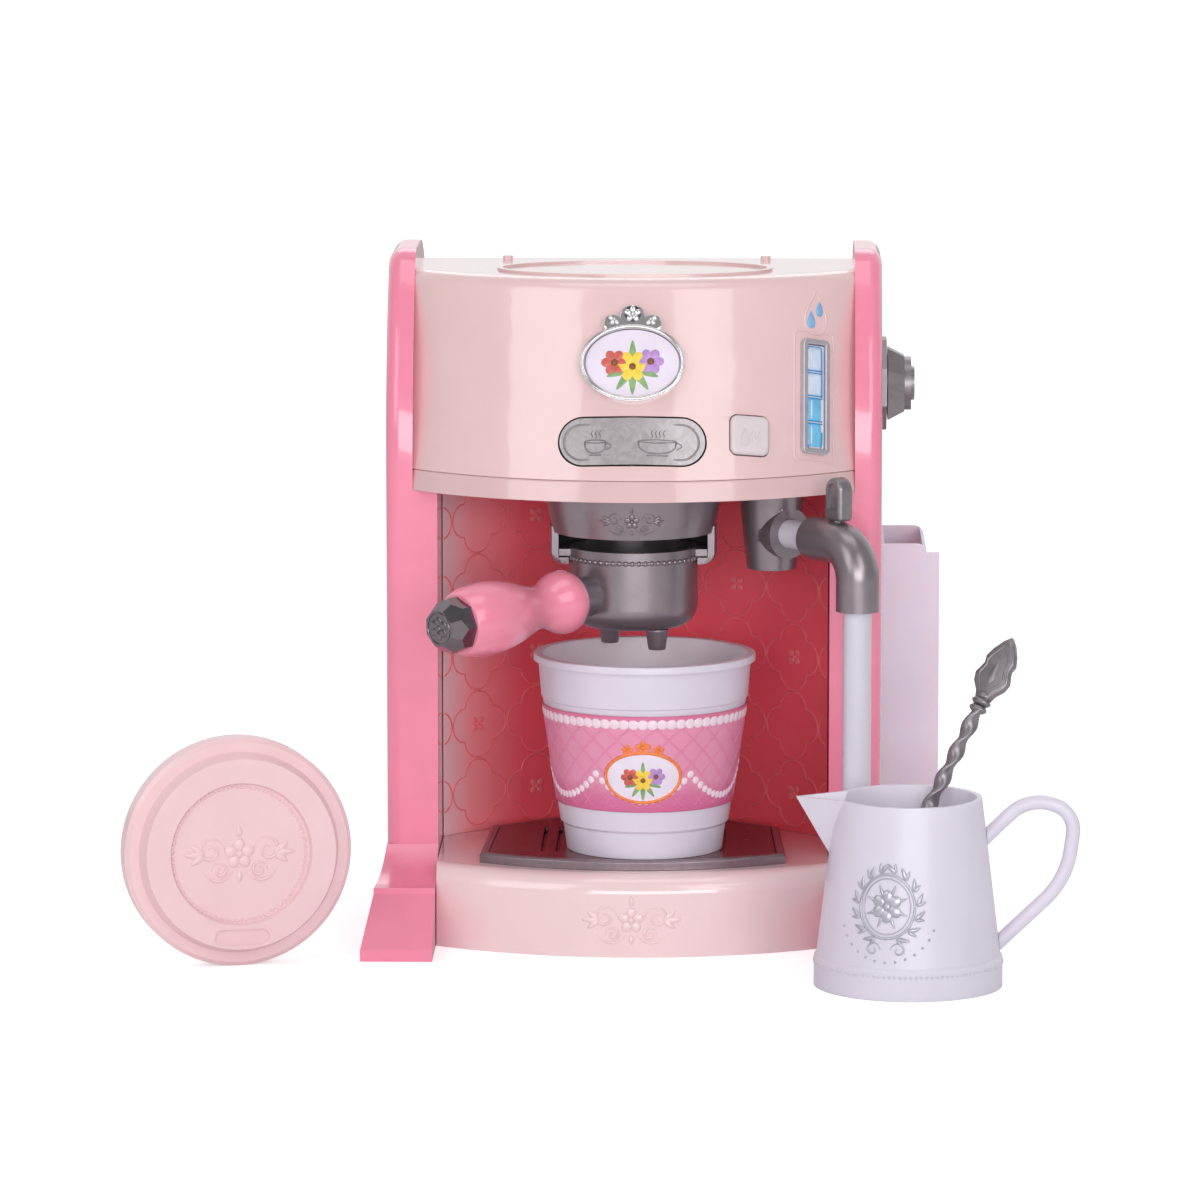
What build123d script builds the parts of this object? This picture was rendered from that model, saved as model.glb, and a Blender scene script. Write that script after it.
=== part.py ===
from build123d import *

import os
from math import cos, radians, sin, sqrt, tan

# Toy espresso machine with its cup, cup lid, milk pitcher and spoon, in millimetres.
# +X is the viewer's right, +Y the back and +Z up. The origin is on the floor, midway
# between the two side panels and midway between the toes and the rear edges.

# Clearances and walls shared by the mouldings
wall = 2.5
fit = 0.2
running_fit = 0.05
moving_gap = 0.4

# Side panels
foot_length = 50.0
panel_crest = 6.5
panel_thickness = 18.0
panel_round = 5.0
brow_radius = 105.0
brow_turn = 40.0
crest_radius = 14.0

# Foot at the front of each panel
foot_flare = 6.7
toe_height = 4.0
step_reach = 25.0
step_height = 21.0
step_rise = 2.0
instep_height = 32.0
instep_sag = 2.5
foot_root = 10.0

# Hood
hood_overlap = 8.5
hood_height = 74.6
hood_bulge = 34.0
hood_setback = 22.0
hood_round = 6.0
lip_height = 7.3
seam = 0.1
seam_bevel = 0.5
top_oval_length = 96.0
top_oval_width = 54.0
top_oval_gap = 14.0
top_oval_band = 2.0
top_oval_height = 0.8
top_peg_spacing = 91.0
top_peg_radius = 1.8
top_peg_height = 1.4
top_peg_inset = 4.0

# Rear cover and the room for the works in front of it
rear_room = 35.0
cover_inset = 2.0
cover_radius = 43.0
grille_slot_length = 26.0
grille_slot_width = 2.4
grille_slot_pitch = 5.0
grille_slots = 5

# Base and bay liner
base_bottom = 0.0
base_height = 28.5
base_reach = 21.0
base_bulge = 20.0
base_round = 7.0
plate_thickness = 2.5
liner_setback = 35.0
liner_depth = 33.0

# Batteries in the base
battery_radius = 7.1
battery_length = 50.0
battery_count = 3
battery_pitch = 16.0
battery_rear_gap = 3.0
battery_box_wall = 2.0
contact_size = 9.0
contact_thickness = 0.8
door_tab = 7.0
door_thickness = 2.0
door_screw_radius = 1.3
door_screw_head_radius = 2.6
door_screw_head_height = 1.0
door_screw_length = 9.0

# Badge on the hood
badge_drop = 28.3
badge_width = 36.0
badge_height = 27.0
badge_band = 1.7
badge_proud = 3.2
badge_insert_proud = 1.8
finial_lobe_radius = 4.4
finial_side_radius = 3.2
finial_side_offset = 6.8

# Brew rocker
rocker_rise = 20.6
rocker_length = 49.8
rocker_height = 16.2
rocker_proud = 0.7
rocker_drop = 3.0
rocker_depth = 5.0
rocker_gap = 0.6
rocker_travel = 3.0
rocker_pivot_depth = 6.5
rocker_boss_radius = 3.0
rocker_pin_radius = 1.5
rocker_lug_width = 7.0
rocker_lug_thickness = 3.0
board_thickness = 1.6
main_board_depth = 12.0
main_board_length = 46.0
main_board_post_x = 20.0
main_board_post_radius = 2.0
dome_radius = 3.0
rocker_dome_x = 14.0

# Steam button
button_gap = 8.1
button_rise = 21.6
button_width = 14.0
button_height = 13.6
button_corner = 2.5
button_proud = 1.5
button_depth = 7.0
button_flange = 1.75
button_flange_depth = 3.4
button_travel = 2.0
button_board_depth = 13.0
button_board_length = 25.0
button_board_height = 14.0
button_post_radius = 1.6

# Water gauge
gauge_inset = 14.5
gauge_drop = 41.5
gauge_width = 11.2
gauge_height = 40.0
gauge_corner = 2.0
gauge_band = 1.8
gauge_proud = 2.2
gauge_window_proud = 1.2

# Group head and portafilter
group_reach = 2.0
group_top_radius = 30.75
group_bottom_radius = 28.0
group_height = 13.4
screen_thickness = 1.4
screen_stem_radius = 4.0
ear_width = 14.0
ear_thickness = 2.2
ear_length = 11.0
ear_lip_height = 2.3
ear_round = 4.2
basket_radius = 22.35
basket_gap = 5.3
basket_height = 27.9
basket_corner = 8.0
basket_wall = 2.5
bead_drop = 3.6
bead_radius = 0.55
lug_reach = 3.95
lug_width = 12.0
lug_height = 2.4
spout_length = 7.3
pour_gap = 2.0
spout_top_radius = 4.15
spout_tip_radius = 2.95
spout_bore_radius = 1.6
spout_offset = 11.7
handle_azimuth = 225.0
handle_droop = 3.5
handle_drop = 14.4
shank_radius = 5.0
shank_collar_radius = 7.0
shank_collar_length = 4.0
grip_start = 29.4
grip_length = 53.1
grip_butt_radius = 9.0
grip_ball_radius = 10.8
grip_ball_reach = 6.5
grip_waist_radius = 7.7
grip_waist_reach = 14.4
grip_slope_radius = 10.1
grip_slope_reach = 26.6
grip_swell_radius = 12.8
grip_swell_reach = 40.6
grip_end_radius = 10.2
grip_bore_depth = 16.0
cap_radius = 9.6
cap_length = 9.0
cap_table_radius = 6.6
cap_taper = 34.0
cap_sides = 8
bolt_radius = 1.5

# Tap
tap_group_gap = 5.55
tap_wall_gap = 8.7
tap_setback = 5.0
tap_drop = 14.4
tap_azimuth = 37.0
mount_top_radius = 11.5
mount_bottom_radius = 8.5
mount_height = 27.4
boss_radius = 8.75
boss_reach = 10.5
pipe_radius = 5.0
pipe_root = 4.0
pipe_insert = 7.0
elbow_start = 23.5
elbow_reach = 48.7
elbow_radius = 7.4
elbow_bend = 12.0
elbow_drop = 22.5
tube_radius = 4.85
tube_bore_radius = 3.2
tube_insert = 7.0
tube_length = 62.0
lever_reach = 38.0
lever_width = 9.0
lever_thickness = 6.0
lever_height = 14.8
lever_edge = 1.4
lever_rim = 1.9
lever_dish = 0.8
lever_dish_low = 4.0
lever_peg_radius = 2.0
lever_peg_length = 2.0

# Steam knob on the right panel
knob_setback = 33.0
knob_tank_gap = 3.0
knob_drop = 40.5
escutcheon_radius = 17.0
escutcheon_thickness = 1.8
knob_sides = 8
knob_radius = 13.6
knob_nose_radius = 10.4
knob_length = 5.8
knob_cap_radius = 9.35
knob_cap_length = 2.4
knob_boss_radius = 5.9
knob_boss_length = 1.2
spindle_radius = 3.0
spindle_tail = 3.0
clip_radius = 5.5
clip_thickness = 1.2

# Water tank on the right panel
tank_gap = 0.4
tank_width = 21.0
tank_flange = 4.4
tank_rear_gap = 5.0
tank_height = 92.0
tank_neck = 3.0
tank_bottom = 36.0
tank_wall = 1.6
tank_corner = 3.5
shelf_thickness = 3.0

# Drip tray
tray_height = 3.5
tray_setback = 5.0
tray_front_bulge = 15.0
tray_side_gap = 15.0
tray_taper = 2.0
tray_length = 54.0
tray_tail_half = 24.0
tray_tail_length = 22.0
tray_rim = 3.0
tray_floor = 1.5
slot_width = 1.3
slot_pitch = 5.2

# Cup
cup_shift = 3.9
cup_base_radius = 27.0
cup_rim_radius = 38.5
cup_height = 68.4
cup_wall = 1.6
cup_foot_height = 9.0
cup_step = 1.0
cup_collar_height = 53.0
cup_taper = 0.142
cup_rim_height = 2.4
sleeve_low = 17.0
sleeve_high = 51.0
sleeve_thickness = 0.4

# Cup lid, standing on its edge
lid_gap = 3.55
lid_yaw = 16.0
lid_radius = 39.35
lid_band = 7.5
lid_valley_radius = 34.6
lid_valley = 8.6
lid_plateau_radius = 32.8
lid_plateau = 13.2
lid_recess_radius = 24.6
lid_recess_depth = 1.6
lid_wall = 1.5
sip_length = 19.0
sip_width = 5.4
sip_offset = 28.6
sip_depth = 0.8

# Milk pitcher
pitcher_offset = 8.0
pitcher_gap = 2.25
pitcher_base_radius = 31.75
pitcher_rim_radius = 24.5
pitcher_height = 64.0
pitcher_band = 10.0
pitcher_step = 0.8
pitcher_wall = 1.8
beak_reach = 13.5
beak_half_angle = 42.0
beak_depth = 19.0
ear_tube_radius = 2.4
ear_top_drop = 15.0
ear_low_height = 13.0
ear_crest_reach = 15.5
ear_crest_bend = 14.0
ear_far_reach = 31.5
ear_far_drop = 5.0
ear_far_bend = 9.0
ear_heel_reach = 28.5
ear_heel_fullness = 1.25

# Spoon in the pitcher
spoon_turn = 58.0
spoon_low_reach = 20.0
spoon_length = 125.5
stem_radius = 2.6
stem_tail_radius = 1.6
bowl_length = 22.0
bowl_width = 13.0
bowl_thickness = 2.4
spoon_head_length = 24.0
spoon_head_width = 12.0
spoon_head_shoulder = 8.4
spoon_head_thickness = 4.0
spoon_rest = 1.0
spoon_rim_gap = 0.8

# Speaker behind the rear cover
speaker_radius = 18.0
speaker_magnet_radius = 10.0
speaker_flange = 2.0
speaker_depth = 9.0
speaker_z = 110.0
cover_screw_radius = 1.5
cover_screw_head_radius = 3.0
cover_screw_head_height = 1.5
cover_screw_length = 9.0
cover_screw_inset = 8.0
cover_screw_low_z = 45.0
cover_screw_high_z = 140.0

# Places across the machine: the bay is as wide as the group head with the tap mount beside it
tap_x = group_top_radius + tap_group_gap + mount_top_radius
bay_half_width = tap_x + mount_top_radius + tap_wall_gap
panel_outer = bay_half_width + panel_thickness
body_half = bay_half_width - fit
hood_half = bay_half_width + hood_overlap
button_x = (rocker_length + button_width) / 2 + button_gap
gauge_x = hood_half - gauge_inset
cover_screw_x = bay_half_width - cover_screw_inset
tray_front_half = bay_half_width - tray_side_gap
tray_back_half = tray_front_half - tray_taper
lid_x = -(panel_outer + foot_flare + lid_gap + lid_radius)
pitcher_x = panel_outer + pitcher_offset

# Heights: the bay is as tall as the tray, the cup and the portafilter over it
base_top = base_bottom + base_height
tray_top = base_top + tray_height
cup_bottom = tray_top + fit / 2
cup_top = cup_bottom + cup_height
spout_bottom = cup_top + pour_gap
basket_bottom = spout_bottom + spout_length
basket_top = basket_bottom + basket_height
group_bottom = basket_top + basket_gap
hood_bottom = group_bottom + group_height
hood_top = hood_bottom + hood_height
panel_top = hood_top + panel_crest
lip_top = hood_bottom + lip_height
rocker_z = hood_bottom + rocker_rise
button_z = hood_bottom + button_rise
badge_z = hood_top - badge_drop
gauge_z = hood_top - gauge_drop
knob_z = hood_top - knob_drop
ear_bottom = group_bottom - ear_length
bead_z = basket_top - bead_drop
handle_z = basket_top - handle_drop
tap_axis_z = hood_bottom - tap_drop
mount_bottom = hood_bottom - mount_height
elbow_outlet_z = tap_axis_z - elbow_drop
tube_bottom = elbow_outlet_z - tube_length

# Places from the toes to the rear
body_depth = liner_setback + liner_depth + rear_room + 2 * wall + cover_inset
footprint_depth = foot_length + body_depth
toe_front_y = -footprint_depth / 2
rear_y = footprint_depth / 2
panel_front_y = toe_front_y + foot_length
hood_radius = (hood_half**2 + hood_bulge**2) / (2 * hood_bulge)
hood_arc_y = panel_front_y - hood_bulge + hood_radius
hood_slope = hood_setback / hood_height
cover_y = rear_y - cover_inset
hood_rear_y = cover_y - cover_radius
inside_rear_y = cover_y - wall - fit
liner_side_y = panel_front_y + liner_setback
underside_rear_y = liner_side_y + liner_depth + wall
base_side_y = panel_front_y - base_reach
group_y = panel_front_y - group_reach
group_axis = Axis((0, group_y, 0), (0, 0, 1))
tap_y = panel_front_y + tap_setback
tray_front_y = base_side_y + tray_setback
tray_back_y = tray_front_y + tray_length
tray_tail_y = tray_back_y + tray_tail_length
knob_y = panel_front_y + knob_setback
tank_front_y = knob_y + escutcheon_radius + knob_tank_gap
tank_length = rear_y - tank_rear_gap - tank_front_y
tank_y = tank_front_y + tank_length / 2
top_oval_y = hood_rear_y - top_oval_gap - top_oval_width / 2
lid_y = toe_front_y
pitcher_y = toe_front_y - pitcher_gap - pitcher_base_radius

pieces = {}


def sag(radius, half_chord):
    """Depth of an arc of this radius over half a chord."""
    return radius - sqrt(radius**2 - half_chord**2)


def hood_plane(x, z):
    """Plane on the hood's front: local y up along the leaning face and z out of it."""
    rise = x / sqrt(hood_radius**2 - x**2)
    y = hood_arc_y - sqrt(hood_radius**2 - x**2) + hood_slope * (z - hood_bottom)
    across = (1 + hood_slope**2, rise, -hood_slope * rise)
    return Plane(origin=(x, y, z), x_dir=across, z_dir=(rise, -1, hood_slope))


def hood_block(inset, low, high, rear):
    """Leaning block behind the hood's curved front, inset from its front and sides."""
    half = hood_half - inset
    radius = hood_radius - inset
    centre_y = hood_arc_y + hood_slope * (low - hood_bottom)
    side_y = centre_y - sqrt(radius**2 - half**2)
    with BuildPart() as block:
        with BuildSketch(Plane.XY.offset(low)):
            with BuildLine():
                front = ThreePointArc((-half, side_y), (0, centre_y - radius), (half, side_y))
                Polyline(front @ 1, (half, rear + wall), (-half, rear + wall), front @ 0)
            make_face()
        extrude(amount=(high - low) * sqrt(1 + hood_slope**2), dir=(0, hood_slope, 1))
        split(bisect_by=Plane.XZ.offset(-rear), keep=Keep.TOP)
    return block.part


def panel_foot(side):
    """Foot that slopes forward from a panel to its toe and flares outwards."""
    inner_x = side * bay_half_width
    outer_x = side * panel_outer
    toe_x = side * (panel_outer + foot_flare)
    root_y = panel_front_y + foot_root
    step_y = panel_front_y - step_reach
    with BuildPart() as foot:
        with BuildSketch(Plane.YZ.offset(inner_x)):
            with BuildLine():
                outline = Polyline(
                    (root_y, instep_height),
                    (root_y, 0),
                    (toe_front_y, 0),
                    (toe_front_y, toe_height),
                    (step_y, step_height - step_rise),
                    (step_y, step_height),
                )
                instep = SagittaArc(outline @ 1, (panel_front_y, instep_height), -instep_sag)
                Line(instep @ 1, outline @ 0)
            make_face()
        extrude(amount=side * (panel_thickness + foot_flare))
        with BuildSketch(Plane.XY):
            with BuildLine():
                Polyline(
                    (inner_x, root_y),
                    (inner_x, toe_front_y),
                    (toe_x, toe_front_y),
                    (outer_x, panel_front_y),
                    (outer_x, root_y),
                    close=True,
                )
            make_face()
        extrude(amount=instep_height, mode=Mode.INTERSECT)
    return foot.part


def side_panel(side):
    """Hollow side panel with its foot, stepped back above the hood's lower edge."""
    inner_x = side * bay_half_width
    shoulder_z = panel_top - brow_radius * sin(radians(brow_turn))
    shoulder_z -= crest_radius * (1 - sin(radians(brow_turn)))
    back_radius = cover_radius + cover_inset
    with BuildPart() as panel:
        with BuildSketch(Plane.YZ.offset(inner_x)):
            with BuildLine():
                front = Line((panel_front_y, 0), (panel_front_y, shoulder_z))
                brow = JernArc(front @ 1, front % 1, brow_radius, -brow_turn)
                crest = JernArc(brow @ 1, brow % 1, crest_radius, brow_turn - 90)
                top = Line(crest @ 1, (rear_y - back_radius, panel_top))
                back = JernArc(top @ 1, top % 1, back_radius, -90)
                Polyline(back @ 1, (rear_y, 0), front @ 0)
            make_face()
        extrude(amount=side * panel_thickness)
        outer_face = panel.faces().sort_by(Axis.X)[-1 if side > 0 else 0]
        fillet(outer_face.edges().filter_by(lambda edge: edge.center().Z > wall), panel_round)
        add(panel_foot(side))
        step_middle = (inner_x + side * hood_half) / 2
        with BuildSketch(Plane.XY.offset(hood_bottom)):
            with Locations((step_middle, 0)):
                Rectangle(hood_overlap, 2 * footprint_depth)
        extrude(amount=panel_top, mode=Mode.SUBTRACT)
        post_x = inner_x + side * panel_thickness / 2
        post_low_y = panel_front_y + wall + panel_round / 2
        post_high_y = liner_side_y + 3 * wall
        with BuildSketch(Plane.XY.offset(instep_height)):
            with Locations((post_x, (post_low_y + post_high_y) / 2)):
                Rectangle(panel_thickness - 2 * wall, post_high_y - post_low_y)
        extrude(amount=hood_bottom - wall - instep_height, mode=Mode.SUBTRACT)
        pocket_low_y = liner_side_y + 2 * wall
        pocket_high_y = rear_y - 2 * wall
        with BuildSketch(Plane.XY.offset(wall)):
            with Locations((post_x - side * wall / 2, (pocket_low_y + pocket_high_y) / 2)):
                Rectangle(panel_thickness - wall, pocket_high_y - pocket_low_y)
        extrude(amount=hood_bottom - 2 * wall, mode=Mode.SUBTRACT)
        if side > 0:
            shelf_x = panel_outer + (tank_gap + tank_width) / 2
            with BuildSketch(Plane.XY.offset(tank_bottom - shelf_thickness)):
                with Locations((shelf_x - wall / 2, tank_y)):
                    Rectangle(tank_gap + tank_width + wall, tank_length)
            extrude(amount=shelf_thickness)
            with BuildSketch(Plane.YZ.offset(bay_half_width)):
                with Locations((knob_y, knob_z)):
                    Circle(spindle_radius + running_fit)
            extrude(amount=2 * panel_thickness, mode=Mode.SUBTRACT)
    return panel.part


pieces["left_side_panel"] = side_panel(-1)
pieces["right_side_panel"] = side_panel(1)

# Hood shell with the control openings, the rocker's lugs and the boards' posts
rocker_plane = hood_plane(0, rocker_z)
button_plane = hood_plane(button_x, button_z)
gauge_plane = hood_plane(gauge_x, gauge_z)
badge_plane = hood_plane(0, badge_z)
rocker_hole_half = rocker_height / 2 + rocker_gap
main_board_post_y = rocker_hole_half + main_board_post_radius
lug_middle = rocker_hole_half + rocker_lug_thickness / 2
rocker_pin_length = 2 * (rocker_hole_half + rocker_lug_thickness)
rocker_pivot_plane = Plane(
    origin=rocker_plane.from_local_coords((0, 0, -rocker_pivot_depth)),
    x_dir=rocker_plane.x_dir,
    z_dir=rocker_plane.y_dir,
)
button_post_x = button_width / 2 + button_flange + button_post_radius + moving_gap

with BuildPart() as hood_shell:
    add(hood_block(0, lip_top, hood_top, hood_rear_y))
    top_edges = hood_shell.edges().filter_by_position(Axis.Z, hood_top - fit, hood_top + fit)
    fillet(top_edges.sort_by(Axis.Y)[0], hood_round)
    add(hood_block(wall, lip_top - lip_height, hood_top - wall, rear_y), mode=Mode.SUBTRACT)
    with BuildSketch(Plane.XY.offset(hood_top)):
        with Locations((0, top_oval_y)):
            Ellipse(top_oval_length / 2, top_oval_width / 2)
            Ellipse(
                top_oval_length / 2 - top_oval_band,
                top_oval_width / 2 - top_oval_band,
                mode=Mode.SUBTRACT,
            )
    extrude(amount=top_oval_height)
    with BuildSketch(Plane.XY.offset(hood_top)):
        with Locations((0, hood_rear_y - top_peg_inset)):
            with GridLocations(top_peg_spacing, 1, 2, 1):
                Circle(top_peg_radius)
    extrude(amount=top_peg_height)
    # Pivot lugs above and below the rocker
    lug_depth = rocker_pivot_depth + rocker_boss_radius
    with BuildSketch(rocker_plane.offset(-lug_depth)):
        with GridLocations(1, 2 * lug_middle, 1, 2):
            Rectangle(rocker_lug_width, rocker_lug_thickness)
    extrude(amount=lug_depth - wall / 2)
    with BuildSketch(rocker_pivot_plane):
        Circle(rocker_pin_radius + running_fit)
    extrude(amount=rocker_pin_length, both=True, mode=Mode.SUBTRACT)
    # Posts for the two boards
    with BuildSketch(rocker_plane.offset(-main_board_depth)):
        with GridLocations(2 * main_board_post_x, 2 * main_board_post_y, 2, 2):
            Circle(main_board_post_radius)
    extrude(amount=main_board_depth - sag(hood_radius, main_board_post_x) - wall / 2)
    with BuildSketch(button_plane.offset(-button_board_depth)):
        with GridLocations(2 * button_post_x, 1, 2, 1):
            Circle(button_post_radius)
    extrude(amount=button_board_depth - sag(hood_radius, button_post_x) - wall / 2)
    # Openings for the rocker, the button and the knob's spindle
    with BuildSketch(rocker_plane):
        SlotOverall(rocker_length + 2 * rocker_gap, rocker_height + 2 * rocker_gap)
    extrude(amount=main_board_depth / 2, both=True, mode=Mode.SUBTRACT)
    with BuildSketch(button_plane):
        RectangleRounded(
            button_width + 2 * moving_gap,
            button_height + 2 * moving_gap,
            button_corner + moving_gap,
        )
    extrude(amount=button_depth, both=True, mode=Mode.SUBTRACT)
    with BuildSketch(Plane.YZ.offset(hood_half - 2 * wall)):
        with Locations((knob_y, knob_z)):
            Circle(clip_radius + fit)
    extrude(amount=2 * wall + fit, mode=Mode.SUBTRACT)
pieces["hood_shell"] = hood_shell.part

with BuildPart() as hood_underside:
    add(hood_block(0, hood_bottom, lip_top - seam, underside_rear_y))
    lip_edges = hood_underside.faces().sort_by(Axis.Z)[-1].edges()
    chamfer(lip_edges.sort_by(Axis.Y)[0], seam_bevel)
    add(
        hood_block(wall, hood_bottom + wall, hood_top, underside_rear_y - wall),
        mode=Mode.SUBTRACT,
    )
pieces["hood_underside"] = hood_underside.part

# Rear cover, rounded over to meet the hood's top
with BuildPart() as rear_cover:
    with BuildSketch(Plane.YZ):
        with BuildLine():
            outer_rise = Line((cover_y, base_bottom), (cover_y, hood_top - cover_radius))
            outer_bend = JernArc(outer_rise @ 1, outer_rise % 1, cover_radius, 90)
            inner_start = (hood_rear_y, hood_top - wall)
            Line(outer_bend @ 1, inner_start)
            inner_bend = JernArc(inner_start, (1, 0), cover_radius - wall, -90)
            Polyline(inner_bend @ 1, (cover_y - wall, base_bottom), outer_rise @ 0)
        make_face()
    extrude(amount=hood_half - fit, both=True)
    with BuildSketch(Plane.XZ.offset(-rear_y)):
        with GridLocations(2 * (bay_half_width + hood_overlap), 1, 2, 1):
            Rectangle(2 * (hood_overlap + fit), 2 * (hood_bottom + fit))
    extrude(amount=footprint_depth / 2, mode=Mode.SUBTRACT)
    with BuildSketch(Plane.XZ.offset(-cover_y)):
        with Locations((0, speaker_z)):
            with GridLocations(1, grille_slot_pitch, 1, grille_slots):
                SlotOverall(grille_slot_length, grille_slot_width)
    extrude(amount=2 * wall, both=True, mode=Mode.SUBTRACT)
    cover_screw_middle_z = (cover_screw_low_z + cover_screw_high_z) / 2
    cover_screw_rise = cover_screw_high_z - cover_screw_low_z
    with BuildSketch(Plane.XZ.offset(-cover_y)):
        with Locations((0, cover_screw_middle_z)):
            with GridLocations(2 * cover_screw_x, cover_screw_rise, 2, 2):
                Circle(cover_screw_radius + running_fit)
    extrude(amount=2 * wall, both=True, mode=Mode.SUBTRACT)
pieces["rear_cover"] = rear_cover.part

with BuildPart() as cover_screws:
    with BuildSketch(Plane.XZ.offset(-cover_y)):
        with Locations((0, cover_screw_middle_z)):
            with GridLocations(2 * cover_screw_x, cover_screw_rise, 2, 2):
                Circle(cover_screw_head_radius)
    extrude(amount=-cover_screw_head_height)
    with BuildSketch(Plane.XZ.offset(-cover_y)):
        with Locations((0, cover_screw_middle_z)):
            with GridLocations(2 * cover_screw_x, cover_screw_rise, 2, 2):
                Circle(cover_screw_radius)
    extrude(amount=cover_screw_length)
pieces["cover_screws"] = cover_screws.part

with BuildPart() as speaker:
    with BuildSketch(Plane.XZ.offset(-(cover_y - wall))):
        with Locations((0, speaker_z)):
            Circle(speaker_radius)
    extrude(amount=speaker_flange)
    with BuildSketch(Plane.XZ.offset(-(cover_y - wall - speaker_flange))):
        with Locations((0, speaker_z)):
            Circle(speaker_magnet_radius)
    extrude(amount=speaker_depth - speaker_flange)
pieces["speaker"] = speaker.part

# Base housing between the panels, open underneath
base_front_y = base_side_y - base_bulge


def base_block(inset, low, high):
    """Block with the base's bowed front, inset from all its upright faces."""
    half = body_half - inset
    side_y = base_side_y + inset
    rear = inside_rear_y - inset
    with BuildPart() as block:
        with BuildSketch(Plane.XY.offset(low)):
            with BuildLine():
                front = ThreePointArc((-half, side_y), (0, base_front_y + inset), (half, side_y))
                Polyline(front @ 1, (half, rear), (-half, rear), front @ 0)
            make_face()
        extrude(amount=high - low)
    return block.part


with BuildPart() as base_housing:
    add(base_block(0, base_bottom, base_top))
    base_top_edges = base_housing.edges().filter_by_position(Axis.Z, base_top - fit, base_top + fit)
    fillet(base_top_edges.sort_by(Axis.Y)[0], base_round)
    add(base_block(wall, base_bottom, base_top - wall), mode=Mode.SUBTRACT)
pieces["base_housing"] = base_housing.part

battery_bay_length = battery_length + 2 * (contact_thickness + fit)
battery_bay_width = (battery_count - 1) * battery_pitch + 2 * (battery_radius + 1.5 * fit)
plate_top = base_bottom + plate_thickness
battery_z = plate_top + battery_radius + fit
box_top = battery_z + battery_radius + fit + battery_box_wall
battery_row_y = inside_rear_y - wall - battery_rear_gap - battery_box_wall - battery_bay_width / 2
bay_front_y = battery_row_y - battery_bay_width / 2
door_length = battery_bay_width + door_tab
door_y = battery_row_y - door_tab / 2
door_screw_y = bay_front_y - battery_box_wall - door_screw_head_radius / 2

with BuildPart() as base_plate:
    add(base_block(wall + fit, base_bottom, plate_top))
    with BuildSketch(Plane.XY):
        with Locations((0, door_y)):
            Rectangle(battery_bay_length, door_length)
    extrude(amount=base_top, mode=Mode.SUBTRACT)
pieces["base_plate"] = base_plate.part

with BuildPart() as battery_box:
    with BuildSketch(Plane.XY.offset(plate_top)):
        with Locations((0, battery_row_y)):
            Rectangle(
                battery_bay_length + 2 * battery_box_wall,
                battery_bay_width + 2 * battery_box_wall,
            )
    extrude(amount=box_top - plate_top)
    with BuildSketch(Plane.XY.offset(plate_top)):
        with Locations((0, battery_row_y)):
            Rectangle(battery_bay_length, battery_bay_width)
    extrude(amount=box_top - plate_top - battery_box_wall, mode=Mode.SUBTRACT)
    with BuildSketch(Plane.XY.offset(plate_top)):
        with Locations((0, bay_front_y - battery_box_wall / 2 - door_tab / 2)):
            Rectangle(battery_bay_length + 2 * battery_box_wall, door_tab + battery_box_wall)
    extrude(amount=door_screw_length)
    with BuildSketch(Plane.XY):
        with Locations((0, door_screw_y)):
            Circle(door_screw_radius + running_fit)
    extrude(amount=base_top, mode=Mode.SUBTRACT)
pieces["battery_box"] = battery_box.part

with BuildPart() as battery_door:
    with BuildSketch(Plane.XY.offset(plate_top - door_thickness)):
        with Locations((0, door_y)):
            Rectangle(battery_bay_length - 2 * fit, door_length - 2 * fit)
    extrude(amount=door_thickness)
    with BuildSketch(Plane.XY):
        with Locations((0, door_screw_y)):
            Circle(door_screw_radius + running_fit)
    extrude(amount=base_top, mode=Mode.SUBTRACT)
    with BuildSketch(Plane.XY):
        with Locations((0, door_screw_y)):
            Circle(door_screw_head_radius + running_fit)
    door_sink = plate_top - door_thickness + door_screw_head_height
    extrude(amount=door_sink, mode=Mode.SUBTRACT)
pieces["battery_door"] = battery_door.part

with BuildPart() as battery_door_screw:
    with BuildSketch(Plane.XY.offset(door_sink)):
        with Locations((0, door_screw_y)):
            Circle(door_screw_head_radius)
    extrude(amount=-door_screw_head_height)
    with BuildSketch(Plane.XY.offset(door_sink)):
        with Locations((0, door_screw_y)):
            Circle(door_screw_radius)
    extrude(amount=door_screw_length)
pieces["battery_door_screw"] = battery_door_screw.part

with BuildPart() as batteries:
    with BuildSketch(Plane.YZ.offset(-battery_length / 2)):
        with Locations((battery_row_y, battery_z)):
            with GridLocations(battery_pitch, 1, battery_count, 1):
                Circle(battery_radius)
    extrude(amount=battery_length)
pieces["batteries"] = batteries.part

with BuildPart() as battery_contacts:
    for contact_x in (-battery_bay_length / 2, battery_bay_length / 2 - contact_thickness):
        with BuildSketch(Plane.YZ.offset(contact_x)):
            with Locations((battery_row_y, battery_z)):
                with GridLocations(battery_pitch, 1, battery_count, 1):
                    Rectangle(contact_size, contact_size)
        extrude(amount=contact_thickness)
pieces["battery_contacts"] = battery_contacts.part

# Concave back wall of the brew bay
liner_radius = (body_half**2 + liner_depth**2) / (2 * liner_depth)
liner_arc_y = liner_side_y + liner_depth - liner_radius
with BuildPart() as bay_liner:
    with BuildSketch(Plane.XY.offset(base_top)):
        with Locations((0, liner_arc_y)):
            Circle(liner_radius + wall)
            Circle(liner_radius, mode=Mode.SUBTRACT)
        with Locations((0, liner_side_y + liner_radius)):
            Rectangle(2 * body_half, 2 * liner_radius, mode=Mode.INTERSECT)
    extrude(amount=hood_bottom - base_top)
pieces["bay_liner"] = bay_liner.part

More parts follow.
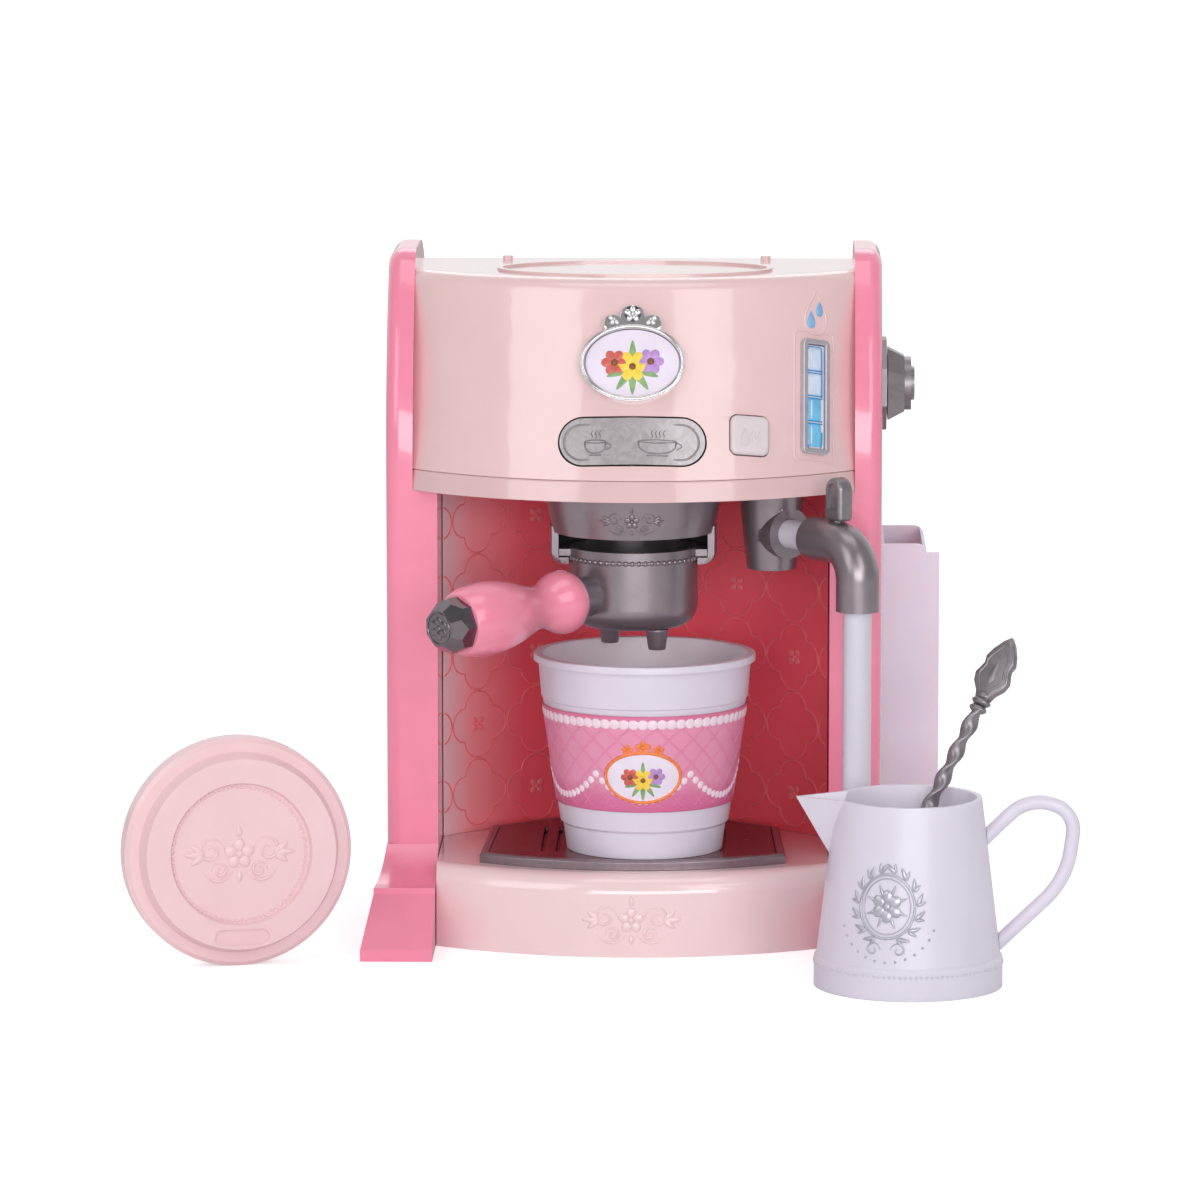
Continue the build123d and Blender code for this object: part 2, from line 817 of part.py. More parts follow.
# Badge: an oval frame with a three-lobed finial, and the insert inside it
hood_front = hood_block(0, hood_bottom, hood_top, hood_rear_y)
finial_y = badge_height / 2 + finial_lobe_radius / 2
with BuildPart() as badge_frame:
    with BuildSketch(badge_plane.offset(-badge_proud)):
        Ellipse(badge_width / 2, badge_height / 2)
        with Locations((0, finial_y)):
            Circle(finial_lobe_radius)
        with Locations((0, badge_height / 2)):
            with GridLocations(2 * finial_side_offset, 1, 2, 1):
                Circle(finial_side_radius)
        Ellipse(badge_width / 2 - badge_band, badge_height / 2 - badge_band, mode=Mode.SUBTRACT)
    extrude(amount=2 * badge_proud)
    add(hood_front, mode=Mode.SUBTRACT)
pieces["badge_frame"] = badge_frame.part

with BuildPart() as badge_insert:
    with BuildSketch(badge_plane.offset(-badge_proud)):
        Ellipse(badge_width / 2 - badge_band - fit, badge_height / 2 - badge_band - fit)
    extrude(amount=badge_proud + badge_insert_proud)
    add(hood_front, mode=Mode.SUBTRACT)
pieces["badge_insert"] = badge_insert.part

with BuildPart() as gauge_frame:
    with BuildSketch(gauge_plane.offset(-gauge_proud)):
        RectangleRounded(gauge_width, gauge_height, gauge_corner)
        Rectangle(gauge_width - 2 * gauge_band, gauge_height - 2 * gauge_band, mode=Mode.SUBTRACT)
    extrude(amount=2 * gauge_proud)
    add(hood_front, mode=Mode.SUBTRACT)
pieces["gauge_frame"] = gauge_frame.part

with BuildPart() as gauge_window:
    with BuildSketch(gauge_plane.offset(-gauge_proud)):
        Rectangle(gauge_width - 2 * (gauge_band + fit), gauge_height - 2 * (gauge_band + fit))
    extrude(amount=gauge_proud + gauge_window_proud)
    add(hood_front, mode=Mode.SUBTRACT)
pieces["gauge_window"] = gauge_window.part

# Brew rocker, creased at its middle, on an upright pin
rocker_section = Plane(
    origin=rocker_plane.origin, x_dir=rocker_plane.x_dir, z_dir=-rocker_plane.y_dir
)
with BuildPart() as brew_rocker:
    with BuildSketch(rocker_section):
        with BuildLine():
            Polyline(
                (-rocker_length / 2, -rocker_depth),
                (rocker_length / 2, -rocker_depth),
                (rocker_length / 2, rocker_proud - rocker_drop),
                (0, rocker_proud),
                (-rocker_length / 2, rocker_proud - rocker_drop),
                close=True,
            )
        make_face()
    extrude(amount=rocker_height, both=True)
    with BuildSketch(rocker_plane):
        SlotOverall(rocker_length, rocker_height)
    extrude(amount=rocker_length, both=True, mode=Mode.INTERSECT)
    with BuildSketch(rocker_pivot_plane):
        Circle(rocker_boss_radius)
    extrude(amount=rocker_height / 2, both=True)
    with BuildSketch(rocker_pivot_plane):
        Circle(rocker_pin_radius + running_fit)
    extrude(amount=rocker_height, both=True, mode=Mode.SUBTRACT)
pieces["brew_rocker"] = brew_rocker.part

with BuildPart() as rocker_pin:
    with BuildSketch(rocker_pivot_plane):
        Circle(rocker_pin_radius)
    extrude(amount=rocker_pin_length / 2, both=True)
pieces["rocker_pin"] = rocker_pin.part

with BuildPart() as main_board:
    with BuildSketch(rocker_plane.offset(-main_board_depth)):
        Rectangle(main_board_length, 2 * (main_board_post_y + main_board_post_radius))
    extrude(amount=-board_thickness)
pieces["main_board"] = main_board.part

with BuildPart() as steam_button:
    with BuildSketch(button_plane.offset(-button_depth)):
        RectangleRounded(button_width, button_height, button_corner)
    extrude(amount=button_depth + button_proud)
    button_top = steam_button.faces().sort_by(Axis(button_plane.origin, button_plane.z_dir))[-1]
    fillet(button_top.edges(), button_corner / 2)
    with BuildSketch(button_plane.offset(-button_depth)):
        Rectangle(button_width + 2 * button_flange, button_height + 2 * button_flange)
    extrude(amount=button_depth - button_flange_depth)
pieces["steam_button"] = steam_button.part

with BuildPart() as button_board:
    with BuildSketch(button_plane.offset(-button_board_depth)):
        Rectangle(button_board_length, button_board_height)
    extrude(amount=-board_thickness)
pieces["button_board"] = button_board.part

rocker_swing = rocker_dome_x * tan(radians(rocker_travel)) + moving_gap
with BuildPart() as switch_domes:
    with BuildSketch(rocker_plane.offset(-main_board_depth)):
        with GridLocations(2 * rocker_dome_x, 1, 2, 1):
            Circle(dome_radius)
    extrude(amount=main_board_depth - rocker_depth - rocker_swing)
    with BuildSketch(button_plane.offset(-button_board_depth)):
        Circle(dome_radius)
    extrude(amount=button_board_depth - button_depth - button_travel - moving_gap)
pieces["switch_domes"] = switch_domes.part


# Group head: a tapered cap under the hood with a hooked skirt that is open at the front
def group_skirt():
    """Skirt round the back of the group's axis, with its two hooked ends left and right."""
    hook_radius = basket_radius + lug_reach + moving_gap
    outer_radius = hook_radius + ear_thickness
    lip_radius = basket_radius + bead_radius + moving_gap
    ear_reach_z = group_bottom + ear_thickness - ear_bottom
    with BuildPart() as ears:
        with BuildSketch(Plane.XY.offset(ear_bottom)):
            with Locations((0, group_y)):
                Circle(outer_radius)
                Circle(lip_radius, mode=Mode.SUBTRACT)
        extrude(amount=ear_lip_height)
        with BuildSketch(Plane.XY.offset(ear_bottom)):
            with Locations((0, group_y)):
                Circle(outer_radius)
                Circle(hook_radius, mode=Mode.SUBTRACT)
        extrude(amount=ear_reach_z)
        low_arcs = ears.edges().filter_by(GeomType.CIRCLE).group_by(Axis.Z)[0]
        fillet(low_arcs.group_by(SortBy.RADIUS)[-1], radius=ear_round)
        with BuildSketch(Plane.XY.offset(ear_bottom)):
            with Locations((0, group_y + outer_radius - ear_width / 2)):
                Rectangle(3 * outer_radius, 2 * outer_radius)
        extrude(amount=ear_reach_z, mode=Mode.INTERSECT)
    return ears.part


with BuildPart() as group_head:
    with BuildSketch(Plane.XZ.offset(-group_y)):
        with BuildLine():
            Polyline(
                (0, hood_bottom),
                (group_top_radius, hood_bottom),
                (group_bottom_radius, group_bottom),
                (group_bottom_radius - wall, group_bottom),
                (group_bottom_radius - wall, hood_bottom - wall),
                (0, hood_bottom - wall),
                close=True,
            )
        make_face()
    revolve(axis=group_axis)
    add(group_skirt())
pieces["group_head"] = group_head.part

with BuildPart() as shower_screen:
    with BuildSketch(Plane.XY.offset(group_bottom)):
        with Locations((0, group_y)):
            Circle(group_bottom_radius - wall - moving_gap)
    extrude(amount=screen_thickness)
    with BuildSketch(Plane.XY.offset(group_bottom)):
        with Locations((0, group_y)):
            Circle(screen_stem_radius)
    extrude(amount=hood_bottom - wall - group_bottom)
pieces["shower_screen"] = shower_screen.part

# Portafilter basket with its bead ring and lugs
lug_bottom = ear_bottom + ear_lip_height + moving_gap
with BuildPart() as filter_basket:
    with BuildSketch(Plane.XZ.offset(-group_y)):
        with BuildLine():
            rim = Line((basket_radius, bead_z), (basket_radius, basket_bottom + basket_corner))
            corner = JernArc(rim @ 1, rim % 1, basket_corner, -90)
            floor = Line(corner @ 1, (0, basket_bottom))
            inner_radius = basket_radius - basket_wall
            inner_floor = basket_bottom + basket_wall
            inner_corner = basket_corner - basket_wall
            inner_floor_edge = (inner_radius - inner_corner, inner_floor)
            Polyline(floor @ 1, (0, inner_floor), inner_floor_edge)
            bend = JernArc(inner_floor_edge, (1, 0), inner_corner, 90)
            Polyline(bend @ 1, (inner_radius, basket_top), (basket_radius, basket_top), rim @ 0)
        make_face()
        with Locations((basket_radius, bead_z)):
            Circle(bead_radius)
        with Locations((inner_radius - bead_radius, bead_z)):
            Rectangle(2 * bead_radius, 2 * bead_radius, mode=Mode.SUBTRACT)
    revolve(axis=group_axis)
    with BuildSketch(Plane.XY.offset(lug_bottom)):
        with Locations((0, group_y)):
            Circle(basket_radius + lug_reach)
            Rectangle(4 * basket_radius, lug_width, mode=Mode.INTERSECT)
            Circle(basket_radius - basket_wall / 2, mode=Mode.SUBTRACT)
    extrude(amount=lug_height)
pieces["filter_basket"] = filter_basket.part

spout_start = handle_azimuth + 90
with BuildPart() as twin_spouts:
    for azimuth in (spout_start, spout_start + 180):
        spout_x = spout_offset * cos(radians(azimuth))
        spout_y = group_y + spout_offset * sin(radians(azimuth))
        with BuildSketch(Plane.XZ.offset(-spout_y)):
            with BuildLine():
                Polyline(
                    (spout_x + spout_bore_radius, basket_bottom),
                    (spout_x + spout_top_radius, basket_bottom),
                    (spout_x + spout_tip_radius, spout_bottom),
                    (spout_x + spout_bore_radius, spout_bottom),
                    close=True,
                )
            make_face()
        revolve(axis=Axis((spout_x, spout_y, 0), (0, 0, 1)))
pieces["twin_spouts"] = twin_spouts.part

# Handle, along a drooping line from the group's axis
handle_x_dir = Vector(
    cos(radians(handle_azimuth)) * cos(radians(handle_droop)),
    sin(radians(handle_azimuth)) * cos(radians(handle_droop)),
    -sin(radians(handle_droop)),
)
handle_side = Vector(sin(radians(handle_azimuth)), -cos(radians(handle_azimuth)), 0)
handle_section = Plane(origin=(0, group_y, handle_z), x_dir=handle_x_dir, z_dir=handle_side)
handle_axis = Axis((0, group_y, handle_z), handle_x_dir)
shank_end = grip_start + grip_bore_depth
grip_end = grip_start + grip_length

with BuildPart() as basket_core:
    with BuildSketch(Plane.XY.offset(basket_bottom)):
        with Locations((0, group_y)):
            Circle(basket_radius)
    extrude(amount=basket_top - basket_bottom)

with BuildPart() as handle_shank:
    with BuildSketch(handle_section):
        with BuildLine():
            Polyline(
                (basket_radius / 2, 0),
                (basket_radius / 2, shank_collar_radius),
                (grip_start - shank_collar_length / 2, shank_collar_radius),
                (grip_start - shank_collar_length / 4, shank_radius),
                (shank_end, shank_radius),
                (shank_end, bolt_radius),
                (grip_start, bolt_radius),
                (grip_start, 0),
                close=True,
            )
        make_face()
    revolve(axis=handle_axis)
    add(basket_core.part, mode=Mode.SUBTRACT)
pieces["handle_shank"] = handle_shank.part

with BuildPart() as handle_grip:
    with BuildSketch(handle_section):
        with BuildLine():
            butt = Line((grip_start, shank_radius), (grip_start, grip_butt_radius))
            skin = Spline(
                butt @ 1,
                (grip_start + grip_ball_reach, grip_ball_radius),
                (grip_start + grip_waist_reach, grip_waist_radius),
                (grip_start + grip_slope_reach, grip_slope_radius),
                (grip_start + grip_swell_reach, grip_swell_radius),
                (grip_end, grip_end_radius),
            )
            Polyline(
                skin @ 1,
                (grip_end, bolt_radius),
                (shank_end, bolt_radius),
                (shank_end, shank_radius),
                butt @ 0,
            )
        make_face()
    revolve(axis=handle_axis)
pieces["handle_grip"] = handle_grip.part

cap_plane = Plane(
    origin=handle_section.from_local_coords((grip_end, 0, 0)),
    x_dir=handle_side,
    z_dir=handle_x_dir,
)
with BuildPart() as grip_end_cap:
    with BuildSketch(cap_plane):
        RegularPolygon(cap_radius, cap_sides)
    extrude(amount=cap_length)
    with BuildSketch(cap_plane.offset(cap_length)):
        RegularPolygon(cap_table_radius, cap_sides, rotation=180 / cap_sides)
    extrude(amount=-cap_length, taper=-cap_taper, mode=Mode.INTERSECT)
    with BuildSketch(cap_plane):
        Circle(bolt_radius)
    extrude(amount=cap_length / 2, mode=Mode.SUBTRACT)
pieces["grip_end_cap"] = grip_end_cap.part

with BuildPart() as handle_bolt:
    with BuildSketch(handle_section):
        with BuildLine():
            Polyline(
                (grip_start, 0),
                (grip_start, bolt_radius),
                (grip_end + cap_length / 2, bolt_radius),
                (grip_end + cap_length / 2, 0),
                close=True,
            )
        make_face()
    revolve(axis=handle_axis)
pieces["handle_bolt"] = handle_bolt.part

# Tap: a two-part mount, the pipe, a two-part elbow, the milk tube and the lever
tap_dir = Vector(sin(radians(tap_azimuth)), -cos(radians(tap_azimuth)), 0)
tap_side = Vector(-cos(radians(tap_azimuth)), -sin(radians(tap_azimuth)), 0)
tap_section = Plane(origin=(tap_x, tap_y, tap_axis_z), x_dir=tap_dir, z_dir=tap_side)
tap_face = Plane(origin=(tap_x, tap_y, tap_axis_z), x_dir=-tap_side, z_dir=tap_dir)


def half_of(whole, keep):
    """One half of a moulding that is parted along the tap's upright middle plane."""
    with BuildPart() as half:
        add(whole)
        split(bisect_by=tap_section, keep=keep)
    return half.part


with BuildPart() as tap_mount:
    with BuildSketch(Plane.XZ.offset(-tap_y)):
        with BuildLine():
            Polyline(
                (tap_x, hood_bottom),
                (tap_x + mount_top_radius, hood_bottom),
                (tap_x + mount_bottom_radius, mount_bottom),
                (tap_x, mount_bottom),
                close=True,
            )
        make_face()
    revolve(axis=Axis((tap_x, tap_y, 0), (0, 0, 1)))
    with BuildSketch(tap_face):
        Circle(boss_radius)
    extrude(amount=boss_reach)
    with BuildSketch(tap_face.offset(-pipe_root)):
        Circle(pipe_radius + running_fit)
    extrude(amount=pipe_root + boss_reach, mode=Mode.SUBTRACT)
pieces["tap_mount_front"] = half_of(tap_mount.part, Keep.TOP)
pieces["tap_mount_rear"] = half_of(tap_mount.part, Keep.BOTTOM)

with BuildPart() as tap_pipe:
    with BuildSketch(tap_face.offset(running_fit - pipe_root)):
        Circle(pipe_radius)
    extrude(amount=pipe_root - running_fit + elbow_start + pipe_insert)
pieces["tap_pipe"] = tap_pipe.part

lever_seat_z = tap_axis_z + elbow_radius + fit
lever_x = tap_x + lever_reach * tap_dir.X
lever_y = tap_y + lever_reach * tap_dir.Y
with BuildPart() as tap_elbow:
    with BuildLine(tap_section):
        run = Line((elbow_start, 0), (elbow_reach - elbow_bend, 0))
        bend_down = JernArc(run @ 1, run % 1, elbow_bend, -90)
        Line(bend_down @ 1, (elbow_reach, -elbow_drop))
    with BuildSketch(tap_face.offset(elbow_start)):
        Circle(elbow_radius)
    sweep()
    with BuildSketch(tap_face.offset(elbow_start)):
        Circle(pipe_radius)
    extrude(amount=pipe_insert, mode=Mode.SUBTRACT)
    outlet = tap_section.from_local_coords((elbow_reach, -elbow_drop, 0))
    with BuildSketch(Plane(origin=outlet, z_dir=(0, 0, 1))):
        Circle(tube_radius)
    extrude(amount=tube_insert, mode=Mode.SUBTRACT)
    with BuildSketch(Plane.XY.offset(lever_seat_z)):
        with Locations((lever_x, lever_y)):
            Circle(lever_peg_radius + running_fit)
    extrude(amount=-(lever_peg_length + 2 * fit), mode=Mode.SUBTRACT)
pieces["tap_elbow_front"] = half_of(tap_elbow.part, Keep.TOP)
pieces["tap_elbow_rear"] = half_of(tap_elbow.part, Keep.BOTTOM)

with BuildPart() as milk_tube:
    with BuildSketch(Plane(origin=(outlet.X, outlet.Y, tube_bottom), z_dir=(0, 0, 1))):
        Circle(tube_radius)
        Circle(tube_bore_radius, mode=Mode.SUBTRACT)
    extrude(amount=elbow_outlet_z + tube_insert - tube_bottom)
pieces["milk_tube"] = milk_tube.part

lever_bend = lever_height - lever_width / 2
lever_section = Plane(origin=(lever_x, lever_y, lever_seat_z), x_dir=tap_dir, z_dir=tap_side)
with BuildPart() as tap_lever:
    with BuildSketch(lever_section):
        with Locations((0, lever_bend / 2)):
            Rectangle(lever_width, lever_bend)
        with Locations((0, lever_bend)):
            Circle(lever_width / 2)
    extrude(amount=lever_thickness / 2, both=True)
    fillet(tap_lever.edges(), radius=lever_edge)
    for face_plane in (lever_section, Plane(lever_section.origin, tap_dir, -tap_side)):
        dish_up = 1 if face_plane.y_dir.Z > 0 else -1
        with BuildSketch(face_plane.offset(lever_thickness / 2 - lever_dish)):
            with Locations((0, dish_up * lever_bend)):
                Circle(lever_width / 2 - lever_rim)
            with Locations((0, dish_up * (lever_bend + lever_dish_low) / 2)):
                Rectangle(lever_width - 2 * lever_rim, lever_bend - lever_dish_low)
        extrude(amount=lever_dish, mode=Mode.SUBTRACT)
    with BuildSketch(Plane.XY.offset(lever_seat_z)):
        with Locations((lever_x, lever_y)):
            Circle(lever_peg_radius)
    extrude(amount=-lever_peg_length)
pieces["tap_lever"] = tap_lever.part

# Steam knob on the right panel
escutcheon_x = panel_outer
knob_x = escutcheon_x + escutcheon_thickness + moving_gap
knob_cap_x = knob_x + knob_length
clip_x = hood_half - wall - clip_thickness - fit

with BuildPart() as knob_escutcheon:
    with BuildSketch(Plane.YZ.offset(escutcheon_x)):
        with Locations((knob_y, knob_z)):
            RegularPolygon(escutcheon_radius, knob_sides, rotation=180 / knob_sides)
            Circle(spindle_radius + moving_gap, mode=Mode.SUBTRACT)
    extrude(amount=escutcheon_thickness)
pieces["knob_escutcheon"] = knob_escutcheon.part

with BuildPart() as steam_knob:
    with BuildSketch(Plane.YZ.offset(knob_x)):
        with Locations((knob_y, knob_z)):
            RegularPolygon(knob_radius, knob_sides, rotation=180 / knob_sides)
    with BuildSketch(Plane.YZ.offset(knob_cap_x)):
        with Locations((knob_y, knob_z)):
            RegularPolygon(knob_nose_radius, knob_sides, rotation=180 / knob_sides)
    loft(ruled=True)
    with BuildSketch(Plane.YZ.offset(knob_x)):
        with Locations((knob_y, knob_z)):
            Circle(spindle_radius)
    extrude(amount=knob_length, mode=Mode.SUBTRACT)
pieces["steam_knob"] = steam_knob.part

with BuildPart() as knob_cap:
    with BuildSketch(Plane.YZ.offset(knob_cap_x)):
        with Locations((knob_y, knob_z)):
            Circle(knob_cap_radius)
    extrude(amount=knob_cap_length)
    with BuildSketch(Plane.YZ.offset(knob_cap_x + knob_cap_length)):
        with Locations((knob_y, knob_z)):
            Circle(knob_boss_radius)
    extrude(amount=knob_boss_length)
pieces["knob_cap"] = knob_cap.part

with BuildPart() as knob_spindle:
    with BuildSketch(Plane.YZ.offset(clip_x - spindle_tail)):
        with Locations((knob_y, knob_z)):
            Circle(spindle_radius)
    extrude(amount=knob_cap_x - clip_x + spindle_tail)
pieces["knob_spindle"] = knob_spindle.part

with BuildPart() as spindle_clip:
    with BuildSketch(Plane.YZ.offset(clip_x)):
        with Locations((knob_y, knob_z)):
            Circle(clip_radius)
            Circle(spindle_radius, mode=Mode.SUBTRACT)
    extrude(amount=clip_thickness)
pieces["spindle_clip"] = spindle_clip.part

# Open-topped water tank on its shelf at the right: a box behind a wider and lower front plate
def tank_slab(width, height, depth):
    """Block from the tank's front, flat at the panel and rounded at its top right corner."""
    with BuildPart() as slab:
        with BuildSketch(Plane.XZ.offset(-tank_front_y)) as outline:
            with Locations((panel_outer + tank_gap + width / 2, tank_bottom + height / 2)):
                Rectangle(width, height)
            outer_corners = outline.vertices().group_by(Axis.X)[-1]
            fillet(outer_corners.sort_by(Axis.Z)[-1], tank_corner)
        extrude(amount=-depth)
    return slab.part


tank_box_width = tank_width - tank_flange
with BuildPart() as water_tank:
    add(tank_slab(tank_width, tank_height, tank_wall))
    add(tank_slab(tank_box_width, tank_height + tank_neck, tank_length))
    with BuildSketch(Plane.XY.offset(tank_bottom + tank_wall)):
        with Locations((panel_outer + tank_gap + tank_box_width / 2, tank_y)):
            Rectangle(tank_box_width - 2 * tank_wall, tank_length - 2 * tank_wall)
    extrude(amount=tank_height + tank_neck, mode=Mode.SUBTRACT)
pieces["water_tank"] = water_tank.part


# Drip tray and its grid
def tray_block(inset, low, high):
    """Block with the tray's outline, inset from every edge."""
    with BuildPart() as block:
        with BuildSketch(Plane.XY.offset(low)):
            with BuildLine():
                front = ThreePointArc(
                    (-tray_front_half, tray_front_y),
                    (0, tray_front_y - tray_front_bulge),
                    (tray_front_half, tray_front_y),
                )
                Polyline(
                    front @ 1,
                    (tray_back_half, tray_back_y),
                    (tray_tail_half, tray_tail_y),
                    (-tray_tail_half, tray_tail_y),
                    (-tray_back_half, tray_back_y),
                    front @ 0,
                )
            make_face()
            if inset:
                offset(amount=-inset, kind=Kind.INTERSECTION, mode=Mode.REPLACE)
        extrude(amount=high - low)
    return block.part


grid_bottom = base_top + tray_floor
with BuildPart() as drip_tray:
    add(tray_block(0, base_top, tray_top))
    rim_edges = drip_tray.edges().filter_by_position(Axis.Z, tray_top - fit, tray_top + fit)
    chamfer(rim_edges, tray_floor / 2)
    add(tray_block(tray_rim, grid_bottom, tray_top + fit), mode=Mode.SUBTRACT)
pieces["drip_tray"] = drip_tray.part

slot_span = tray_back_half - tray_rim
slot_count = 2 * int((slot_span - tray_tail_half / 2) / slot_pitch) + 1
slot_length = tray_back_y - tray_front_y - 2 * tray_rim
with BuildPart() as drip_grid:
    add(tray_block(tray_rim + fit, grid_bottom, tray_top))
    with BuildSketch(Plane.XY.offset(grid_bottom)):
        with Locations((0, (tray_back_y + tray_front_y) / 2)):
            with GridLocations(slot_pitch, 1, slot_count, 1):
                Rectangle(slot_width, slot_length)
    extrude(amount=tray_top, mode=Mode.SUBTRACT)
pieces["drip_grid"] = drip_grid.part

# Cup on the tray under the spouts
cup_shoulder = cup_base_radius + cup_taper * cup_foot_height + cup_step


def cup_radius_at(height):
    """Outer radius of the cup's tapered side at a height above its base."""
    return cup_shoulder + cup_taper * (height - cup_foot_height - cup_step)


cup_neck_radius = cup_rim_radius - cup_wall
cup_section = Plane(origin=(cup_shift, group_y, 0), x_dir=(1, 0, 0), z_dir=(0, -1, 0))
cup_axis = Axis((cup_shift, group_y, 0), (0, 0, 1))
with BuildPart() as cup:
    with BuildSketch(cup_section):
        with BuildLine():
            Polyline(
                (0, cup_bottom),
                (cup_base_radius, cup_bottom),
                (cup_base_radius + cup_taper * cup_foot_height, cup_bottom + cup_foot_height),
                (cup_shoulder, cup_bottom + cup_foot_height + cup_step),
                (cup_radius_at(cup_collar_height), cup_bottom + cup_collar_height),
                (
                    cup_radius_at(cup_collar_height) + cup_step / 2,
                    cup_bottom + cup_collar_height + cup_step / 2,
                ),
                (cup_neck_radius, cup_top - cup_rim_height),
                (cup_rim_radius, cup_top - cup_rim_height),
                (cup_rim_radius, cup_top),
                (cup_neck_radius - cup_wall, cup_top),
                (cup_radius_at(cup_collar_height) - cup_wall, cup_bottom + cup_collar_height),
                (cup_base_radius - cup_wall, cup_bottom + cup_wall),
                (0, cup_bottom + cup_wall),
                close=True,
            )
        make_face()
    revolve(axis=cup_axis)
    rim_circles = cup.edges().filter_by(GeomType.CIRCLE).group_by(Axis.Z)[-1]
    fillet(rim_circles, cup_wall / 3)
pieces["cup"] = cup.part

with BuildPart() as cup_sleeve:
    with BuildSketch(cup_section):
        with BuildLine():
            low_radius = cup_radius_at(sleeve_low) + fit / 2
            high_radius = cup_radius_at(sleeve_high) + fit / 2
            Polyline(
                (low_radius, cup_bottom + sleeve_low),
                (low_radius + sleeve_thickness, cup_bottom + sleeve_low),
                (high_radius + sleeve_thickness, cup_bottom + sleeve_high),
                (high_radius, cup_bottom + sleeve_high),
                close=True,
            )
        make_face()
    revolve(axis=cup_axis)
pieces["cup_sleeve"] = cup_sleeve.part

# Cup lid, standing on its edge and facing forward and to the right
lid_dir = Vector(sin(radians(lid_yaw)), -cos(radians(lid_yaw)), 0)
lid_across = Vector(0, 0, 1).cross(lid_dir)
lid_section = Plane(origin=(lid_x, lid_y, lid_radius), x_dir=(0, 0, 1), z_dir=lid_across)
lid_axis = Axis((lid_x, lid_y, lid_radius), lid_dir)
lid_recess = lid_plateau - lid_recess_depth
with BuildPart() as cup_lid:
    with BuildSketch(lid_section):
        with BuildLine():
            Polyline(
                (lid_radius - lid_wall, 0),
                (lid_radius, 0),
                (lid_radius, lid_band),
                (lid_radius - lid_wall, lid_valley),
                (lid_valley_radius, lid_valley),
                (lid_plateau_radius, lid_plateau),
                (lid_recess_radius, lid_plateau),
                (lid_recess_radius - lid_wall / 2, lid_recess),
                (0, lid_recess),
                (0, lid_recess - lid_wall),
                (lid_recess_radius - lid_wall / 2, lid_recess - lid_wall),
                (lid_recess_radius + lid_wall / 2, lid_plateau - lid_wall),
                (lid_plateau_radius - lid_wall, lid_plateau - lid_wall),
                (lid_valley_radius - lid_wall, lid_valley - lid_wall),
                (lid_radius - lid_wall, lid_valley - lid_wall),
                close=True,
            )
        make_face()
    revolve(axis=lid_axis)
    sip_middle = lid_section.from_local_coords((-sip_offset, lid_plateau, 0))
    with BuildSketch(Plane(origin=sip_middle, x_dir=lid_across, z_dir=lid_dir)):
        SlotOverall(sip_length, sip_width)
    extrude(amount=-sip_depth, mode=Mode.SUBTRACT)
pieces["cup_lid"] = cup_lid.part

# Milk pitcher with a pouring beak at its left and a loop handle at its right
pitcher_axis = Axis((pitcher_x, pitcher_y, 0), (0, 0, 1))
side_drop = pitcher_height - pitcher_band - pitcher_step
side_slope = (pitcher_base_radius - pitcher_step - pitcher_rim_radius) / side_drop


def pitcher_side(height, inset):
    """Radius of the pitcher's side at a height above the floor, inset by a wall."""
    return pitcher_rim_radius + side_slope * (pitcher_height - height) - inset


def pitcher_beak(inset):
    """Solid of the pouring beak, from its mouth down to a point on the pitcher's side."""
    low = pitcher_height - beak_depth
    spread = radians(beak_half_angle)
    with BuildPart() as beak:
        for height, reach, overlap in ((low, fit, wall), (pitcher_height, beak_reach, wall)):
            radius = pitcher_side(height, inset)
            narrow = reach / beak_reach
            with BuildSketch(Plane.XY.offset(height)):
                with BuildLine():
                    Polyline(
                        (pitcher_x - radius - reach, pitcher_y),
                        (
                            pitcher_x - radius * cos(spread * narrow) + overlap * narrow,
                            pitcher_y - radius * sin(spread * narrow) + overlap * narrow / 2,
                        ),
                        (
                            pitcher_x - radius * cos(spread * narrow) + overlap * narrow,
                            pitcher_y + radius * sin(spread * narrow) - overlap * narrow / 2,
                        ),
                        close=True,
                    )
                make_face()
        loft(ruled=True)
    return beak.part


def pitcher_body():
    """Solid of the pitcher's round body, without its beak."""
    with BuildPart() as body:
        with BuildSketch(Plane.XZ.offset(-pitcher_y)):
            with BuildLine():
                Polyline(
                    (pitcher_x, 0),
                    (pitcher_x + pitcher_base_radius, 0),
                    (pitcher_x + pitcher_base_radius, pitcher_band),
                    (pitcher_x + pitcher_base_radius - pitcher_step, pitcher_band + pitcher_step),
                    (pitcher_x + pitcher_rim_radius, pitcher_height),
                    (pitcher_x, pitcher_height),
                    close=True,
                )
            make_face()
        revolve(axis=pitcher_axis)
    return body.part


with BuildPart() as pitcher:
    add(pitcher_body())
    add(pitcher_beak(0))
    with BuildSketch(Plane.XZ.offset(-pitcher_y)):
        with BuildLine():
            Polyline(
                (pitcher_x, pitcher_wall),
                (pitcher_x + pitcher_side(pitcher_band, pitcher_wall), pitcher_wall),
                (pitcher_x + pitcher_side(pitcher_band, pitcher_wall), pitcher_band),
                (pitcher_x + pitcher_side(pitcher_height, pitcher_wall), pitcher_height),
                (pitcher_x, pitcher_height),
                close=True,
            )
        make_face()
    revolve(axis=pitcher_axis, mode=Mode.SUBTRACT)
    add(pitcher_beak(pitcher_wall), mode=Mode.SUBTRACT)
pieces["milk_pitcher"] = pitcher.part

